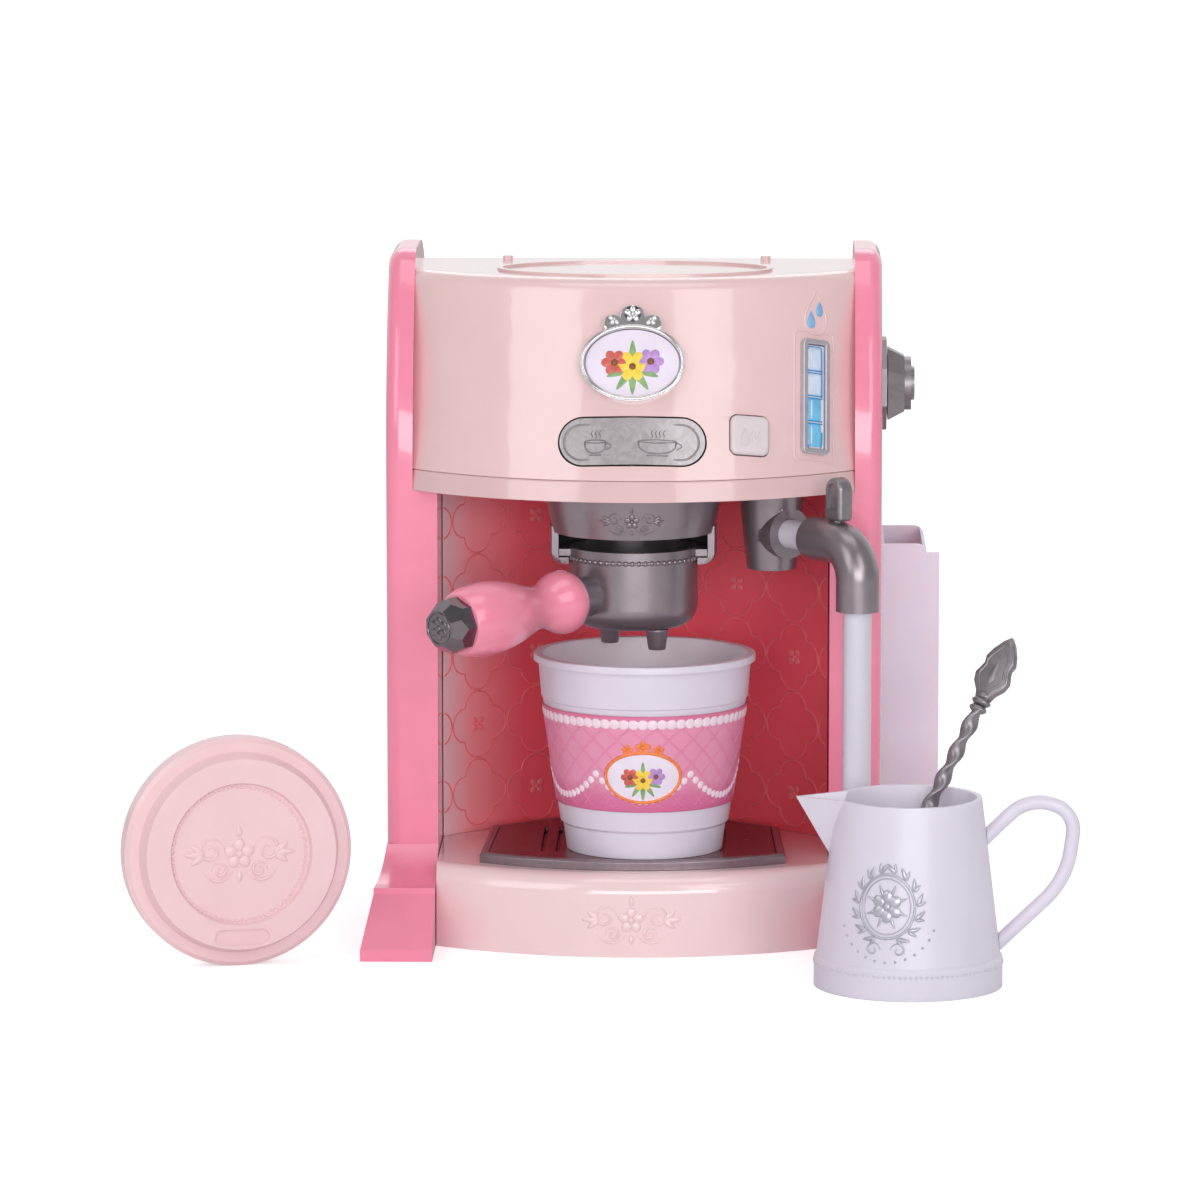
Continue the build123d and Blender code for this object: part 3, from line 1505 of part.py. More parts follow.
ear_top_z = pitcher_height - ear_top_drop
ear_top_x = pitcher_x + pitcher_side(ear_top_z, pitcher_wall)
ear_low_x = pitcher_x + pitcher_side(ear_low_height, pitcher_wall)
ear_far_z = pitcher_height - ear_far_drop
ear_heel_z = (ear_far_z + ear_low_height) / 2
ear_heel_bend = ear_heel_fullness * (ear_far_z - ear_heel_z)
rim_x = pitcher_x + pitcher_rim_radius
with BuildPart() as pitcher_handle:
    with BuildLine(Plane.XZ.offset(-pitcher_y)) as ear_path:
        FilletPolyline(
            (ear_top_x, ear_top_z),
            (rim_x + ear_crest_reach, pitcher_height),
            (rim_x + ear_far_reach, ear_far_z),
            (rim_x + ear_heel_reach, ear_heel_z),
            (ear_low_x, ear_low_height),
            radius=(ear_crest_bend, ear_far_bend, ear_heel_bend),
        )
    with BuildSketch(Plane(origin=ear_path.line @ 0, z_dir=ear_path.line % 0)):
        Circle(ear_tube_radius)
    sweep()
    add(pitcher_body(), mode=Mode.SUBTRACT)
pieces["pitcher_handle"] = pitcher_handle.part

# Spoon leaning on the pitcher's rim at the back right, its bowl down and its flat side along the rim
spoon_rim_reach = pitcher_side(pitcher_height, pitcher_wall) - stem_radius - spoon_rim_gap
spoon_rim = Vector(
    pitcher_x + spoon_rim_reach * cos(radians(spoon_turn)),
    pitcher_y + spoon_rim_reach * sin(radians(spoon_turn)),
    pitcher_height,
)
spoon_low = Vector(pitcher_x - spoon_low_reach, pitcher_y, pitcher_wall + spoon_rest + bowl_thickness)
spoon_up = (spoon_rim - spoon_low).normalized()
along_rim = Vector(-sin(radians(spoon_turn)), cos(radians(spoon_turn)), 0)
spoon_across = (along_rim - spoon_up * along_rim.dot(spoon_up)).normalized()
spoon_plane = Plane(origin=spoon_low, x_dir=spoon_across, z_dir=spoon_up)
spoon_flat = Plane(origin=spoon_low, x_dir=spoon_across, z_dir=spoon_up.cross(spoon_across))
head_low = spoon_length - spoon_head_length
with BuildPart() as spoon:
    with BuildSketch(spoon_flat):
        with Locations((0, -bowl_length / 2)):
            Ellipse(bowl_width / 2, bowl_length / 2)
    extrude(amount=bowl_thickness / 2, both=True)
    with BuildSketch(spoon_plane.offset(bowl_length / 2)):
        Circle(stem_tail_radius)
    with BuildSketch(spoon_plane.offset(pitcher_height / 2)):
        Circle(stem_radius)
    with BuildSketch(spoon_plane.offset(head_low + stem_radius)):
        Circle(stem_radius)
    loft(ruled=True)
    with BuildSketch(spoon_flat):
        with BuildLine():
            Polyline(
                (0, -head_low),
                (spoon_head_width / 2, -head_low - spoon_head_shoulder),
                (0, -spoon_length),
                (-spoon_head_width / 2, -head_low - spoon_head_shoulder),
                close=True,
            )
        make_face()
    extrude(amount=spoon_head_thickness / 2, both=True)
pieces["spoon"] = spoon.part

os.makedirs("parts", exist_ok=True)
for name, piece in pieces.items():
    piece.label = name
    export_step(piece, f"parts/{name}.step")
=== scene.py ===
import math

import bmesh
import bpy
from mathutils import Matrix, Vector


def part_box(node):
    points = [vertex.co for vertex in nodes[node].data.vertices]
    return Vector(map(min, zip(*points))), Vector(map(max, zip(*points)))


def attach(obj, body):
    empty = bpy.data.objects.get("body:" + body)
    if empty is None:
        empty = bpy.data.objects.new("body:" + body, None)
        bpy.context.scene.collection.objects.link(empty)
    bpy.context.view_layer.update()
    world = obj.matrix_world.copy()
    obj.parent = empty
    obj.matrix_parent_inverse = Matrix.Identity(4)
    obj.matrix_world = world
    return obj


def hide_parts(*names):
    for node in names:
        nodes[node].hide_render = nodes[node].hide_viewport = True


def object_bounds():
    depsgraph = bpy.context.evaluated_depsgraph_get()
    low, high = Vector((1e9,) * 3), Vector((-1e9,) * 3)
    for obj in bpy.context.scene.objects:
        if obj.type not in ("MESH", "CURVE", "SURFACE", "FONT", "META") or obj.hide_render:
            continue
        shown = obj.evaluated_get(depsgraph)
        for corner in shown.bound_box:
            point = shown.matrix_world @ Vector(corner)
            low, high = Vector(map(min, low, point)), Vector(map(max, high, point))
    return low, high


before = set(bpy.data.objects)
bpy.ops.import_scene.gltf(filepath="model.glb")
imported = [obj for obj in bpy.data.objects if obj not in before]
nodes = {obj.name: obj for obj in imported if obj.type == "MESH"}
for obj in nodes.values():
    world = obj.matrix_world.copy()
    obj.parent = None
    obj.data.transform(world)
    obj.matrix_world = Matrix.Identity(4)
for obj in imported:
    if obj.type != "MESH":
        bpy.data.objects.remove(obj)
cad_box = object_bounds()
scene = bpy.context.scene
scene.view_settings.view_transform = "Standard"
mm = 0.001

# Camera of the photograph: place in millimetres, angles in radians, focal length for a 36 mm sensor
camera_place = Vector((41.5, -2380.0, 454.0))
camera_yaw = -0.0226
camera_pitch = 0.1419
camera_lens = 205.4

# Places in the frame, in millimetres; the rocker and the button are met from the front
cup_axis = Vector((3.9, -32.0, 0.0))
group_axis = Vector((0.0, -32.0, 0.0))
pitcher_axis = Vector((94.0, -114.0, 0.0))
liner_axis = Vector((0.0, -48.15, 0.0))
liner_radius = 86.15
rocker_place = Vector((0, 0, 177))
button_place = Vector((40, 0, 178))
front = Vector((0, -1, 0))
up = Vector((0, 0, 1))


def middle(node):
    """Centre of a node's box, in millimetres."""
    low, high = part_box(node)
    return (low + high) / 2 / mm


def srgb(red, green, blue):
    """Linear colour of an 8-bit screen colour."""
    shares = [channel / 255 for channel in (red, green, blue)]
    return [s / 12.92 if s <= 0.04045 else ((s + 0.055) / 1.055) ** 2.4 for s in shares] + [1.0]


def shaded(colour, factor):
    """The colour made darker or lighter by a factor."""
    return [min(channel * factor, 1.0) for channel in colour[:3]] + [1.0]


# Materials: the cloud's ends, the spread of the gloss, the depth of the grain in millimetres, and the
# distances in millimetres over which a face that looks towards an axis takes the inner colour of painted
# light
cloud_low = 0.3
cloud_high = 0.7
gloss_spread = 0.15
grain_depth = 0.1
inside_light_full = -15
inside_light_none = -5


def noise_node(tree, size, detail=3.0, distortion=0.0):
    """Noise whose patches are about size millimetres across."""
    place = tree.nodes.new("ShaderNodeTexCoord")
    noise = tree.nodes.new("ShaderNodeTexNoise")
    noise.inputs["Scale"].default_value = 1 / (size * mm)
    noise.inputs["Detail"].default_value = detail
    noise.inputs["Distortion"].default_value = distortion
    tree.links.new(place.outputs["Object"], noise.inputs["Vector"])
    return noise


def ramp_node(tree, source, stops):
    """Colour ramp over a value, with (position, colour) stops."""
    ramp = tree.nodes.new("ShaderNodeValToRGB")
    ramp.color_ramp.elements[0].position = stops[0][0]
    ramp.color_ramp.elements[0].color = stops[0][1]
    ramp.color_ramp.elements[1].position = stops[-1][0]
    ramp.color_ramp.elements[1].color = stops[-1][1]
    for position, colour in stops[1:-1]:
        ramp.color_ramp.elements.new(position).color = colour
    tree.links.new(source, ramp.inputs["Fac"])
    return ramp


def finish(name, colour, rough=0.28, vary=0.05, cloud=18.0, grain=0.5, bump=0.05, metallic=0.0, swirl=0.0):
    """Moulded plastic or metal: cloudy colour, uneven gloss and a fine grain."""
    material = bpy.data.materials.new(name)
    material.use_nodes = True
    tree = material.node_tree
    shader = tree.nodes["Principled BSDF"]
    shader.inputs["Metallic"].default_value = metallic
    clouds = noise_node(tree, cloud, distortion=swirl)
    stops = [(cloud_low, shaded(colour, 1 - vary)), (cloud_high, shaded(colour, 1 + vary))]
    tint = ramp_node(tree, clouds.outputs["Fac"], stops)
    tree.links.new(tint.outputs["Color"], shader.inputs["Base Color"])
    gloss = tree.nodes.new("ShaderNodeMapRange")
    gloss.inputs["To Min"].default_value = rough * (1 - gloss_spread)
    gloss.inputs["To Max"].default_value = rough * (1 + gloss_spread)
    tree.links.new(clouds.outputs["Fac"], gloss.inputs["Value"])
    tree.links.new(gloss.outputs["Result"], shader.inputs["Roughness"])
    fine = noise_node(tree, grain, detail=2.0)
    relief = tree.nodes.new("ShaderNodeBump")
    relief.inputs["Strength"].default_value = bump
    relief.inputs["Distance"].default_value = grain_depth * mm
    tree.links.new(fine.outputs["Fac"], relief.inputs["Height"])
    tree.links.new(relief.outputs["Normal"], shader.inputs["Normal"])
    return material


def set_shader(material, **values):
    """Set plain values on the material's shader."""
    shader = material.node_tree.nodes["Principled BSDF"]
    for key, value in values.items():
        shader.inputs[key.replace("_", " ")].default_value = value


def graded(material, axis, low, high, stops):
    """Colour the material along an axis, from low to high in millimetres."""
    tree = material.node_tree
    place = tree.nodes.new("ShaderNodeTexCoord")
    parts = tree.nodes.new("ShaderNodeSeparateXYZ")
    share = tree.nodes.new("ShaderNodeMapRange")
    share.inputs["From Min"].default_value = low * mm
    share.inputs["From Max"].default_value = high * mm
    tree.links.new(place.outputs["Object"], parts.inputs["Vector"])
    tree.links.new(parts.outputs[axis], share.inputs["Value"])
    ramp = ramp_node(tree, share.outputs["Result"], stops)
    tree.links.new(ramp.outputs["Color"], tree.nodes["Principled BSDF"].inputs["Base Color"])


def painted_inside_light(material, axis, colour):
    """Painted light: another colour on the faces that look towards an upright axis, such as the inside of a
    cup, standing in for light that reaches it.
    """
    tree = material.node_tree
    tinted = tree.nodes["Principled BSDF"].inputs["Base Color"]
    place = tree.nodes.new("ShaderNodeTexCoord")
    spoke = tree.nodes.new("ShaderNodeVectorMath")
    spoke.operation = "SUBTRACT"
    spoke.inputs[1].default_value = axis * mm
    tree.links.new(place.outputs["Object"], spoke.inputs[0])
    level = tree.nodes.new("ShaderNodeVectorMath")
    level.operation = "MULTIPLY"
    level.inputs[1].default_value = (1, 1, 0)
    tree.links.new(spoke.outputs["Vector"], level.inputs[0])
    outward = tree.nodes.new("ShaderNodeVectorMath")
    outward.operation = "DOT_PRODUCT"
    tree.links.new(level.outputs["Vector"], outward.inputs[0])
    tree.links.new(place.outputs["Normal"], outward.inputs[1])
    share = tree.nodes.new("ShaderNodeMapRange")
    share.inputs["From Min"].default_value = inside_light_full * mm
    share.inputs["From Max"].default_value = inside_light_none * mm
    share.inputs["To Min"].default_value = 1.0
    share.inputs["To Max"].default_value = 0.0
    tree.links.new(outward.outputs["Value"], share.inputs["Value"])
    both = tree.nodes.new("ShaderNodeMix")
    both.data_type = "RGBA"
    both.inputs["B"].default_value = colour
    tree.links.new(share.outputs["Result"], both.inputs["Factor"])
    tree.links.new(tinted.links[0].from_socket, both.inputs["A"])
    tree.links.new(both.outputs["Result"], tinted)


pink = finish("pink_shell", srgb(243, 138, 166), rough=0.2, vary=0.03)
pale_pink = finish("pale_pink_shell", srgb(231, 197, 198), rough=0.16, vary=0.02)
# Painted shade: the hood's underside is the hood's plastic, coloured a little darker for the shade on its lip
lip_shade_pink = finish("lip_shade_pink", srgb(222, 187, 189), rough=0.16, vary=0.02)
base_pink = finish("base_pink", srgb(240, 211, 214), rough=0.15, vary=0.02)
# Painted shade: the liner and its lattice are light pink plastic, coloured saturated coral for the shade and
# pink bounce light inside the bay
liner_shade_pink = finish("liner_shade_pink", srgb(255, 102, 118), rough=0.3, vary=0.03)
lattice_shade_pink = finish("lattice_shade_pink", srgb(250, 130, 140), rough=0.28, vary=0.03)
grip_pink = finish("grip_pink", srgb(240, 139, 164), rough=0.22, vary=0.03)
lid_pink = finish("lid_pink", srgb(237, 201, 206), rough=0.24, vary=0.02)
silver = finish(
    "silver_plastic", srgb(148, 139, 145), rough=0.3, vary=0.05, cloud=6.0, bump=0.012, metallic=0.75,
)
bright_silver = finish(
    "bright_silver", srgb(182, 176, 179), rough=0.3, vary=0.12, cloud=5.0, metallic=0.8, swirl=2.5,
)
dark_silver = finish(
    "dark_silver", srgb(146, 140, 144), rough=0.36, vary=0.08, cloud=5.0, metallic=0.75, swirl=1.5,
)
cap_metal = finish("cap_metal", srgb(128, 120, 126), rough=0.12, vary=0.08, cloud=4.0, metallic=1.0)
chrome = finish("chrome_trim", srgb(226, 224, 226), rough=0.08, vary=0.03, cloud=4.0, bump=0.02, metallic=1.0)
lilac_white = finish("lilac_white", srgb(221, 214, 228), rough=0.3, vary=0.015)
cup_white = finish("cup_white", srgb(221, 214, 228), rough=0.3, vary=0.015)
pitcher_white = finish("pitcher_white", srgb(221, 214, 228), rough=0.3, vary=0.015)
tube_white = finish("tube_white", srgb(213, 209, 220), rough=0.26, vary=0.015)
frosted = finish("frosted_tank", srgb(229, 225, 237), rough=0.45, vary=0.03, cloud=40.0)
button_clear = finish("button_clear", srgb(218, 206, 211), rough=0.24, vary=0.02)
gauge_white = finish("gauge_white", srgb(226, 222, 232), rough=0.2, vary=0.02, cloud=6.0)
gauge_silver = finish("gauge_silver", srgb(196, 192, 200), rough=0.25, vary=0.06, cloud=5.0, metallic=0.6)
card_white = finish("card_white", srgb(234, 224, 240), rough=0.2, vary=0.04, cloud=7.0)
sleeve_pink = finish("sleeve_pink", srgb(233, 150, 184), rough=0.3, vary=0.03)
grid_dark = finish("grid_dark", srgb(96, 44, 48), rough=0.26, vary=0.12, cloud=8.0)
tray_silver = finish(
    "tray_silver", srgb(140, 124, 131), rough=0.3, vary=0.08, cloud=6.0, metallic=0.7, swirl=1.5,
)
dark_plastic = finish("dark_plastic", srgb(52, 48, 52), rough=0.4, vary=0.1)
steel = finish("steel", srgb(188, 188, 192), rough=0.28, vary=0.06, cloud=3.0, metallic=1.0)
board_green = finish("board_green", srgb(48, 104, 72), rough=0.35, vary=0.12, cloud=4.0)
rubber = finish("switch_rubber", srgb(92, 92, 96), rough=0.6, vary=0.06, cloud=3.0)
battery_jacket = finish("battery_jacket", srgb(64, 72, 84), rough=0.3, vary=0.08, cloud=12.0)
drop_blue = finish("drop_blue", srgb(128, 176, 216), rough=0.15, vary=0.12, cloud=3.0)
bar_deep = finish("bar_deep", srgb(112, 190, 232), rough=0.15, vary=0.14, cloud=5.0)
bar_pale = finish("bar_pale", srgb(206, 218, 238), rough=0.15, vary=0.08, cloud=5.0)
bar_edge = finish("bar_edge", srgb(70, 156, 214), rough=0.2, vary=0.08, cloud=3.0)
leaf_green = finish("leaf_green", srgb(132, 170, 112), rough=0.3, vary=0.2, cloud=2.5)
petal_coral = finish("petal_coral", srgb(206, 96, 84), rough=0.3, vary=0.18, cloud=2.0)
petal_lilac = finish("petal_lilac", srgb(184, 142, 206), rough=0.3, vary=0.15, cloud=2.0)
petal_yellow = finish("petal_yellow", srgb(246, 208, 72), rough=0.3, vary=0.12, cloud=2.0)
heart_brown = finish("heart_brown", srgb(134, 78, 46), rough=0.35, vary=0.2, cloud=1.0)
pearl_pink = finish("pearl_pink", srgb(244, 220, 234), rough=0.25, vary=0.05, cloud=3.0)
sleeve_line = finish("sleeve_line", srgb(226, 134, 174), rough=0.3, vary=0.05, cloud=6.0)
ring_orange = finish("ring_orange", srgb(240, 132, 72), rough=0.28, vary=0.12, cloud=3.0)
wreath_silver = finish("wreath_silver", srgb(186, 184, 194), rough=0.3, vary=0.1, cloud=4.0, metallic=0.5)
for glossy in (pale_pink, lip_shade_pink, base_pink, pink, grip_pink):
    set_shader(glossy, Coat_Weight=0.7, Coat_Roughness=0.04)
set_shader(frosted, Subsurface_Weight=0.3, Subsurface_Scale=4 * mm)
for milky in (lilac_white, cup_white, pitcher_white):
    set_shader(milky, Subsurface_Weight=0.3, Subsurface_Scale=3 * mm, Subsurface_Radius=(1.0, 0.9, 1.0))
# Painted light: the insides of the cup and the pitcher are coloured lighter, as if more light reached them
painted_inside_light(cup_white, cup_axis, srgb(250, 242, 254))
painted_inside_light(pitcher_white, pitcher_axis, srgb(244, 238, 250))
# Painted light: the liner turns lighter towards its left edge, where light falls into the bay
liner_lit_edge_stops = [(0.0, srgb(255, 222, 228)), (0.35, srgb(255, 158, 168)), (1.0, srgb(255, 102, 118))]
graded(liner_shade_pink, "X", low=-68, high=-40, stops=liner_lit_edge_stops)
sleeve_stops = [
    (0.0, srgb(210, 104, 150)),
    (0.16, srgb(216, 118, 160)),
    (0.3, srgb(228, 150, 180)),
    (0.9, srgb(230, 148, 178)),
    (1.0, srgb(218, 114, 152)),
]
graded(sleeve_pink, "Z", low=49, high=83, stops=sleeve_stops)

looks = {
    pink: "left_side_panel right_side_panel",
    pale_pink: "hood_shell rear_cover battery_door",
    lip_shade_pink: "hood_underside",
    base_pink: "base_housing",
    liner_shade_pink: "bay_liner",
    grip_pink: "handle_grip",
    lid_pink: "cup_lid",
    silver: "group_head filter_basket twin_spouts handle_shank "
            "tap_mount_front tap_mount_rear tap_elbow_front tap_elbow_rear",
    bright_silver: "brew_rocker",
    dark_silver: "tap_lever knob_escutcheon steam_knob knob_cap spoon shower_screen",
    cap_metal: "grip_end_cap",
    chrome: "badge_frame",
    card_white: "badge_insert",
    gauge_silver: "gauge_frame",
    gauge_white: "gauge_window",
    cup_white: "cup",
    pitcher_white: "milk_pitcher",
    lilac_white: "pitcher_handle",
    tube_white: "milk_tube tap_pipe",
    frosted: "water_tank",
    button_clear: "steam_button",
    sleeve_pink: "cup_sleeve",
    grid_dark: "drip_grid",
    tray_silver: "drip_tray",
    dark_plastic: "speaker base_plate battery_box",
    steel: "cover_screws battery_door_screw battery_contacts "
           "handle_bolt rocker_pin knob_spindle spindle_clip",
    board_green: "main_board button_board",
    rubber: "switch_domes",
    battery_jacket: "batteries",
}

# Rounded edges and joined points, in millimetres; the faceted nodes keep their cut faces
edge_round = 0.35
edge_angle = math.radians(35)
weld_reach = 0.001
faceted = "grip_end_cap steam_knob knob_escutcheon rear_cover".split()


def dress(node, material):
    """Give a node its material, small rounded edges and smooth shading; cut faces stay flat."""
    piece = nodes[node]
    piece.data.materials.clear()
    piece.data.materials.append(material)
    if node in faceted:
        return
    weld = piece.modifiers.new("weld", "WELD")
    weld.merge_threshold = weld_reach * mm
    bevel = piece.modifiers.new("edges", "BEVEL")
    bevel.width = edge_round * mm
    bevel.segments = 2
    bevel.limit_method = "ANGLE"
    bevel.angle_limit = edge_angle
    bevel.use_clamp_overlap = True
    normals = piece.modifiers.new("normals", "WEIGHTED_NORMAL")
    normals.keep_sharp = False
    for face in piece.data.polygons:
        face.use_smooth = True


for material, names in looks.items():
    for node in names.split():
        dress(node, material)


# Meshes: rings of points are skinned, and flat drawings in millimetres are laid on a node's surface
class Shape:
    """Points and faces of one piece, gathered part by part."""

    def __init__(self):
        self.points = []
        self.faces = []

    def loft(self, rings, loop=False):
        """Skin over rings of equal length, with closed ends unless the rings form a loop."""
        start = len(self.points)
        count = len(rings[0])
        for ring in rings:
            self.points.extend(ring)
        for i in range(len(rings) if loop else len(rings) - 1):
            low = start + i * count
            high = start + (i + 1) % len(rings) * count
            for j in range(count):
                k = (j + 1) % count
                self.faces.append((low + j, low + k, high + k, high + j))
        if not loop:
            last = len(self.points) - count
            self.faces.append(tuple(range(start, start + count)))
            self.faces.append(tuple(range(last, last + count)))

    def make(self, name, material, body, slot, *replaced):
        """Turn the shape into a piece that rides on a body."""
        mesh = bpy.data.meshes.new(name)
        mesh.from_pydata(self.points, [], self.faces)
        work = bmesh.new()
        work.from_mesh(mesh)
        bmesh.ops.recalc_face_normals(work, faces=work.faces)
        work.to_mesh(mesh)
        work.free()
        for face in mesh.polygons:
            face.use_smooth = True
        mesh.materials.append(material)
        piece = bpy.data.objects.new(name, mesh)
        scene.collection.objects.link(piece)
        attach(piece, body)
        if replaced:
            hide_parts(*replaced)


# Rays start this far off a node, or at this Y in front of the object, in millimetres
ray_reach = 60.0
ray_front = -200.0


def onto(node, centre, facing, lean=up):
    """Lays (right, up) millimetres on a node's surface, seen against the facing direction."""
    facing = Vector(facing).normalized()
    right = Vector(lean).cross(facing).normalized()
    over = facing.cross(right)

    def place(u, v):
        start = (Vector(centre) + right * u + over * v + facing * ray_reach) * mm
        hit, point, _, _ = nodes[node].ray_cast(start, -facing)
        return (point, facing) if hit else None

    return place


def face_of(node, centre, lean):
    """Lays (right, up) millimetres on the face of a node that is met from the front at a centre."""
    _, point, out, _ = nodes[node].ray_cast(Vector((centre[0], ray_front, centre[2])) * mm, -front)
    return onto(node, point / mm, out, lean)


def around(node, axis, radius, turn=0.0, inside=False):
    """Lays (round, height) millimetres on a turned surface, from its front, or from the back when inside."""
    hand = -1 if inside else 1

    def place(u, v):
        angle = u / radius + math.radians(turn)
        out = Vector((hand * math.sin(angle), -math.cos(angle), 0))
        level = axis + Vector((0, 0, v))
        start = level if inside else level + out * 2 * radius
        hit, point, _, _ = nodes[node].ray_cast(start * mm, -out)
        return (point, out) if hit else None

    return place


def flat(origin, right, over):
    """Lays (right, over) millimetres on a plane."""
    out = right.cross(over).normalized()

    def place(u, v):
        return (origin + right * u + over * v) * mm, out

    return place


def shifted(place, u_shift, v_shift, lift=0.0):
    """The same surface with its middle moved, and raised by a lift."""

    def moved(u, v):
        hit = place(u + u_shift, v + v_shift)
        return hit and (hit[0] + hit[1] * lift * mm, hit[1])

    return moved


# Ornament starts a little under the surface; heights are shares of its own height
foot_rise = -0.3
ridge_section = [(-1, foot_rise), (-0.85, 0.5), (-0.35, 0.95), (0.35, 0.95), (0.85, 0.5), (1, foot_rise)]
taper_end = 0.25
dome_arc = 88
pole_share = 0.02


def ridge(shape, place, path, width, height, closed=False, taper=False):
    """Rounded raised line along a path; it stops where the surface ends."""
    runs = [[]]
    count = len(path)
    for i, (u, v) in enumerate(path):
        before = path[i - 1] if closed or i else path[0]
        after = path[(i + 1) % count] if closed or i < count - 1 else path[-1]
        step = math.hypot(after[0] - before[0], after[1] - before[1])
        side = (-(after[1] - before[1]) / step, (after[0] - before[0]) / step)
        share = taper_end + (1 - taper_end) * math.sin(math.pi * i / (count - 1)) if taper else 1.0
        ring = []
        for offset, rise in ridge_section:
            reach = offset * width / 2 * share
            ring.append((place(u + side[0] * reach, v + side[1] * reach), rise * height * share))
        if all(hit for hit, _ in ring):
            runs[-1].append([hit[0] + hit[1] * rise * mm for hit, rise in ring])
        elif runs[-1]:
            runs.append([])
    whole = len(runs) == 1
    for run in runs:
        if len(run) > 1:
            shape.loft(run, loop=closed and whole)


def dome(shape, place, outline, height, layers=4):
    """Low pillow over an outline that its middle sees whole; left out where the surface ends."""
    middle_u = sum(u for u, _ in outline) / len(outline)
    middle_v = sum(v for _, v in outline) / len(outline)
    levels = [(1.0, foot_rise)]
    for i in range(layers + 1):
        angle = math.radians(dome_arc * i / layers)
        levels.append((math.cos(angle), math.sin(angle)))
    rings = []
    for share, rise in levels:
        hits = []
        for u, v in outline:
            hits.append(place(middle_u + (u - middle_u) * share, middle_v + (v - middle_v) * share))
        if not all(hits):
            return
        rings.append([point + out * rise * height * mm for point, out in hits])
    shape.loft(rings)


def ball(shape, centre, radius, count=10):
    """Round bead, cut flat just under its poles."""
    rings = []
    for i in range(count // 2 + 1):
        tilt = math.pi * min(max(i / (count // 2), pole_share), 1 - pole_share)
        ring = []
        for j in range(count):
            turn = 2 * math.pi * j / count
            spoke = Vector((
                math.cos(turn) * math.sin(tilt),
                math.sin(turn) * math.sin(tilt),
                math.cos(tilt),
            ))
            ring.append((centre + spoke * radius) * mm)
        rings.append(ring)
    shape.loft(rings)


# Flat drawings, as lists of (right, up) points
def oval(u, v, half_width, half_height, turn=0.0, count=12):
    """Ellipse, turned by degrees."""
    lean = math.radians(turn)
    points = []
    for i in range(count):
        angle = 2 * math.pi * i / count
        x = half_width * math.cos(angle)
        y = half_height * math.sin(angle)
        points.append((
            u + x * math.cos(lean) - y * math.sin(lean),
            v + x * math.sin(lean) + y * math.cos(lean),
        ))
    return points


def box_outline(u, v, half_width, half_height, power=6, count=28):
    """Rectangle with round corners."""
    points = []
    for i in range(count):
        angle = 2 * math.pi * i / count
        x = math.cos(angle)
        y = math.sin(angle)
        points.append((
            u + half_width * math.copysign(abs(x) ** (2 / power), x),
            v + half_height * math.copysign(abs(y) ** (2 / power), y),
        ))
    return points


def leaf(u, v, length, width, turn, count=14):
    """Pointed leaf from a point towards an angle in degrees."""
    lean = math.radians(turn)
    points = []
    for i in range(count):
        angle = 2 * math.pi * i / count
        along = length * (1 - math.cos(angle)) / 2
        across = width / 2 * math.sin(angle) * (0.8 + 0.3 * math.cos(angle))
        points.append((
            u + along * math.cos(lean) - across * math.sin(lean),
            v + along * math.sin(lean) + across * math.cos(lean),
        ))
    return points


def drop(u, v, half_width, half_height, count=18):
    """Water drop with its point up."""
    points = []
    for i in range(count):
        angle = 2 * math.pi * (i + 0.5) / count
        points.append((
            u + 1.25 * half_width * math.sin(angle) * math.sin(angle / 2) ** 1.4,
            v + half_height * math.cos(angle),
        ))
    return points


def quatrefoil(u, v, size, count=9):
    """Outline of four round lobes."""
    reach = 0.25 * size
    lobe = 0.26 * size
    notch = (reach + math.sqrt(2 * lobe**2 - reach**2)) / 2
    spread = math.atan2(notch, notch - reach)
    points = []
    for quarter in range(4):
        lean = quarter * math.pi / 2
        for i in range(count):
            angle = lean - spread + 2 * spread * i / count
            points.append((
                u + reach * math.cos(lean) + lobe * math.cos(angle),
                v + reach * math.sin(lean) + lobe * math.sin(angle),
            ))
    return points


def scroll(u, v, radius, start, turns, count=22):
    """Spiral that winds inwards from a start angle in degrees; negative turns go clockwise."""
    points = []
    for i in range(count + 1):
        share = i / count
        angle = math.radians(start + 360 * turns * share)
        reach = radius * (1 - 0.8 * share)
        points.append((u + reach * math.cos(angle), v + reach * math.sin(angle)))
    return points


def blossom(shape, place, u, v, radius, height, petals=5, turn=90.0):
    """Open flower of round petals with a raised heart."""
    reach = 0.58 * radius
    petal_length = 0.42 * radius
    petal_width = 0.36 * radius
    heart = 0.26 * radius
    for i in range(petals):
        angle = turn + 360 * i / petals
        middle_u = u + reach * math.cos(math.radians(angle))
        middle_v = v + reach * math.sin(math.radians(angle))
        dome(shape, place, oval(middle_u, middle_v, petal_length, petal_width, angle), height)
    dome(shape, place, oval(u, v, heart, heart), 1.5 * height)


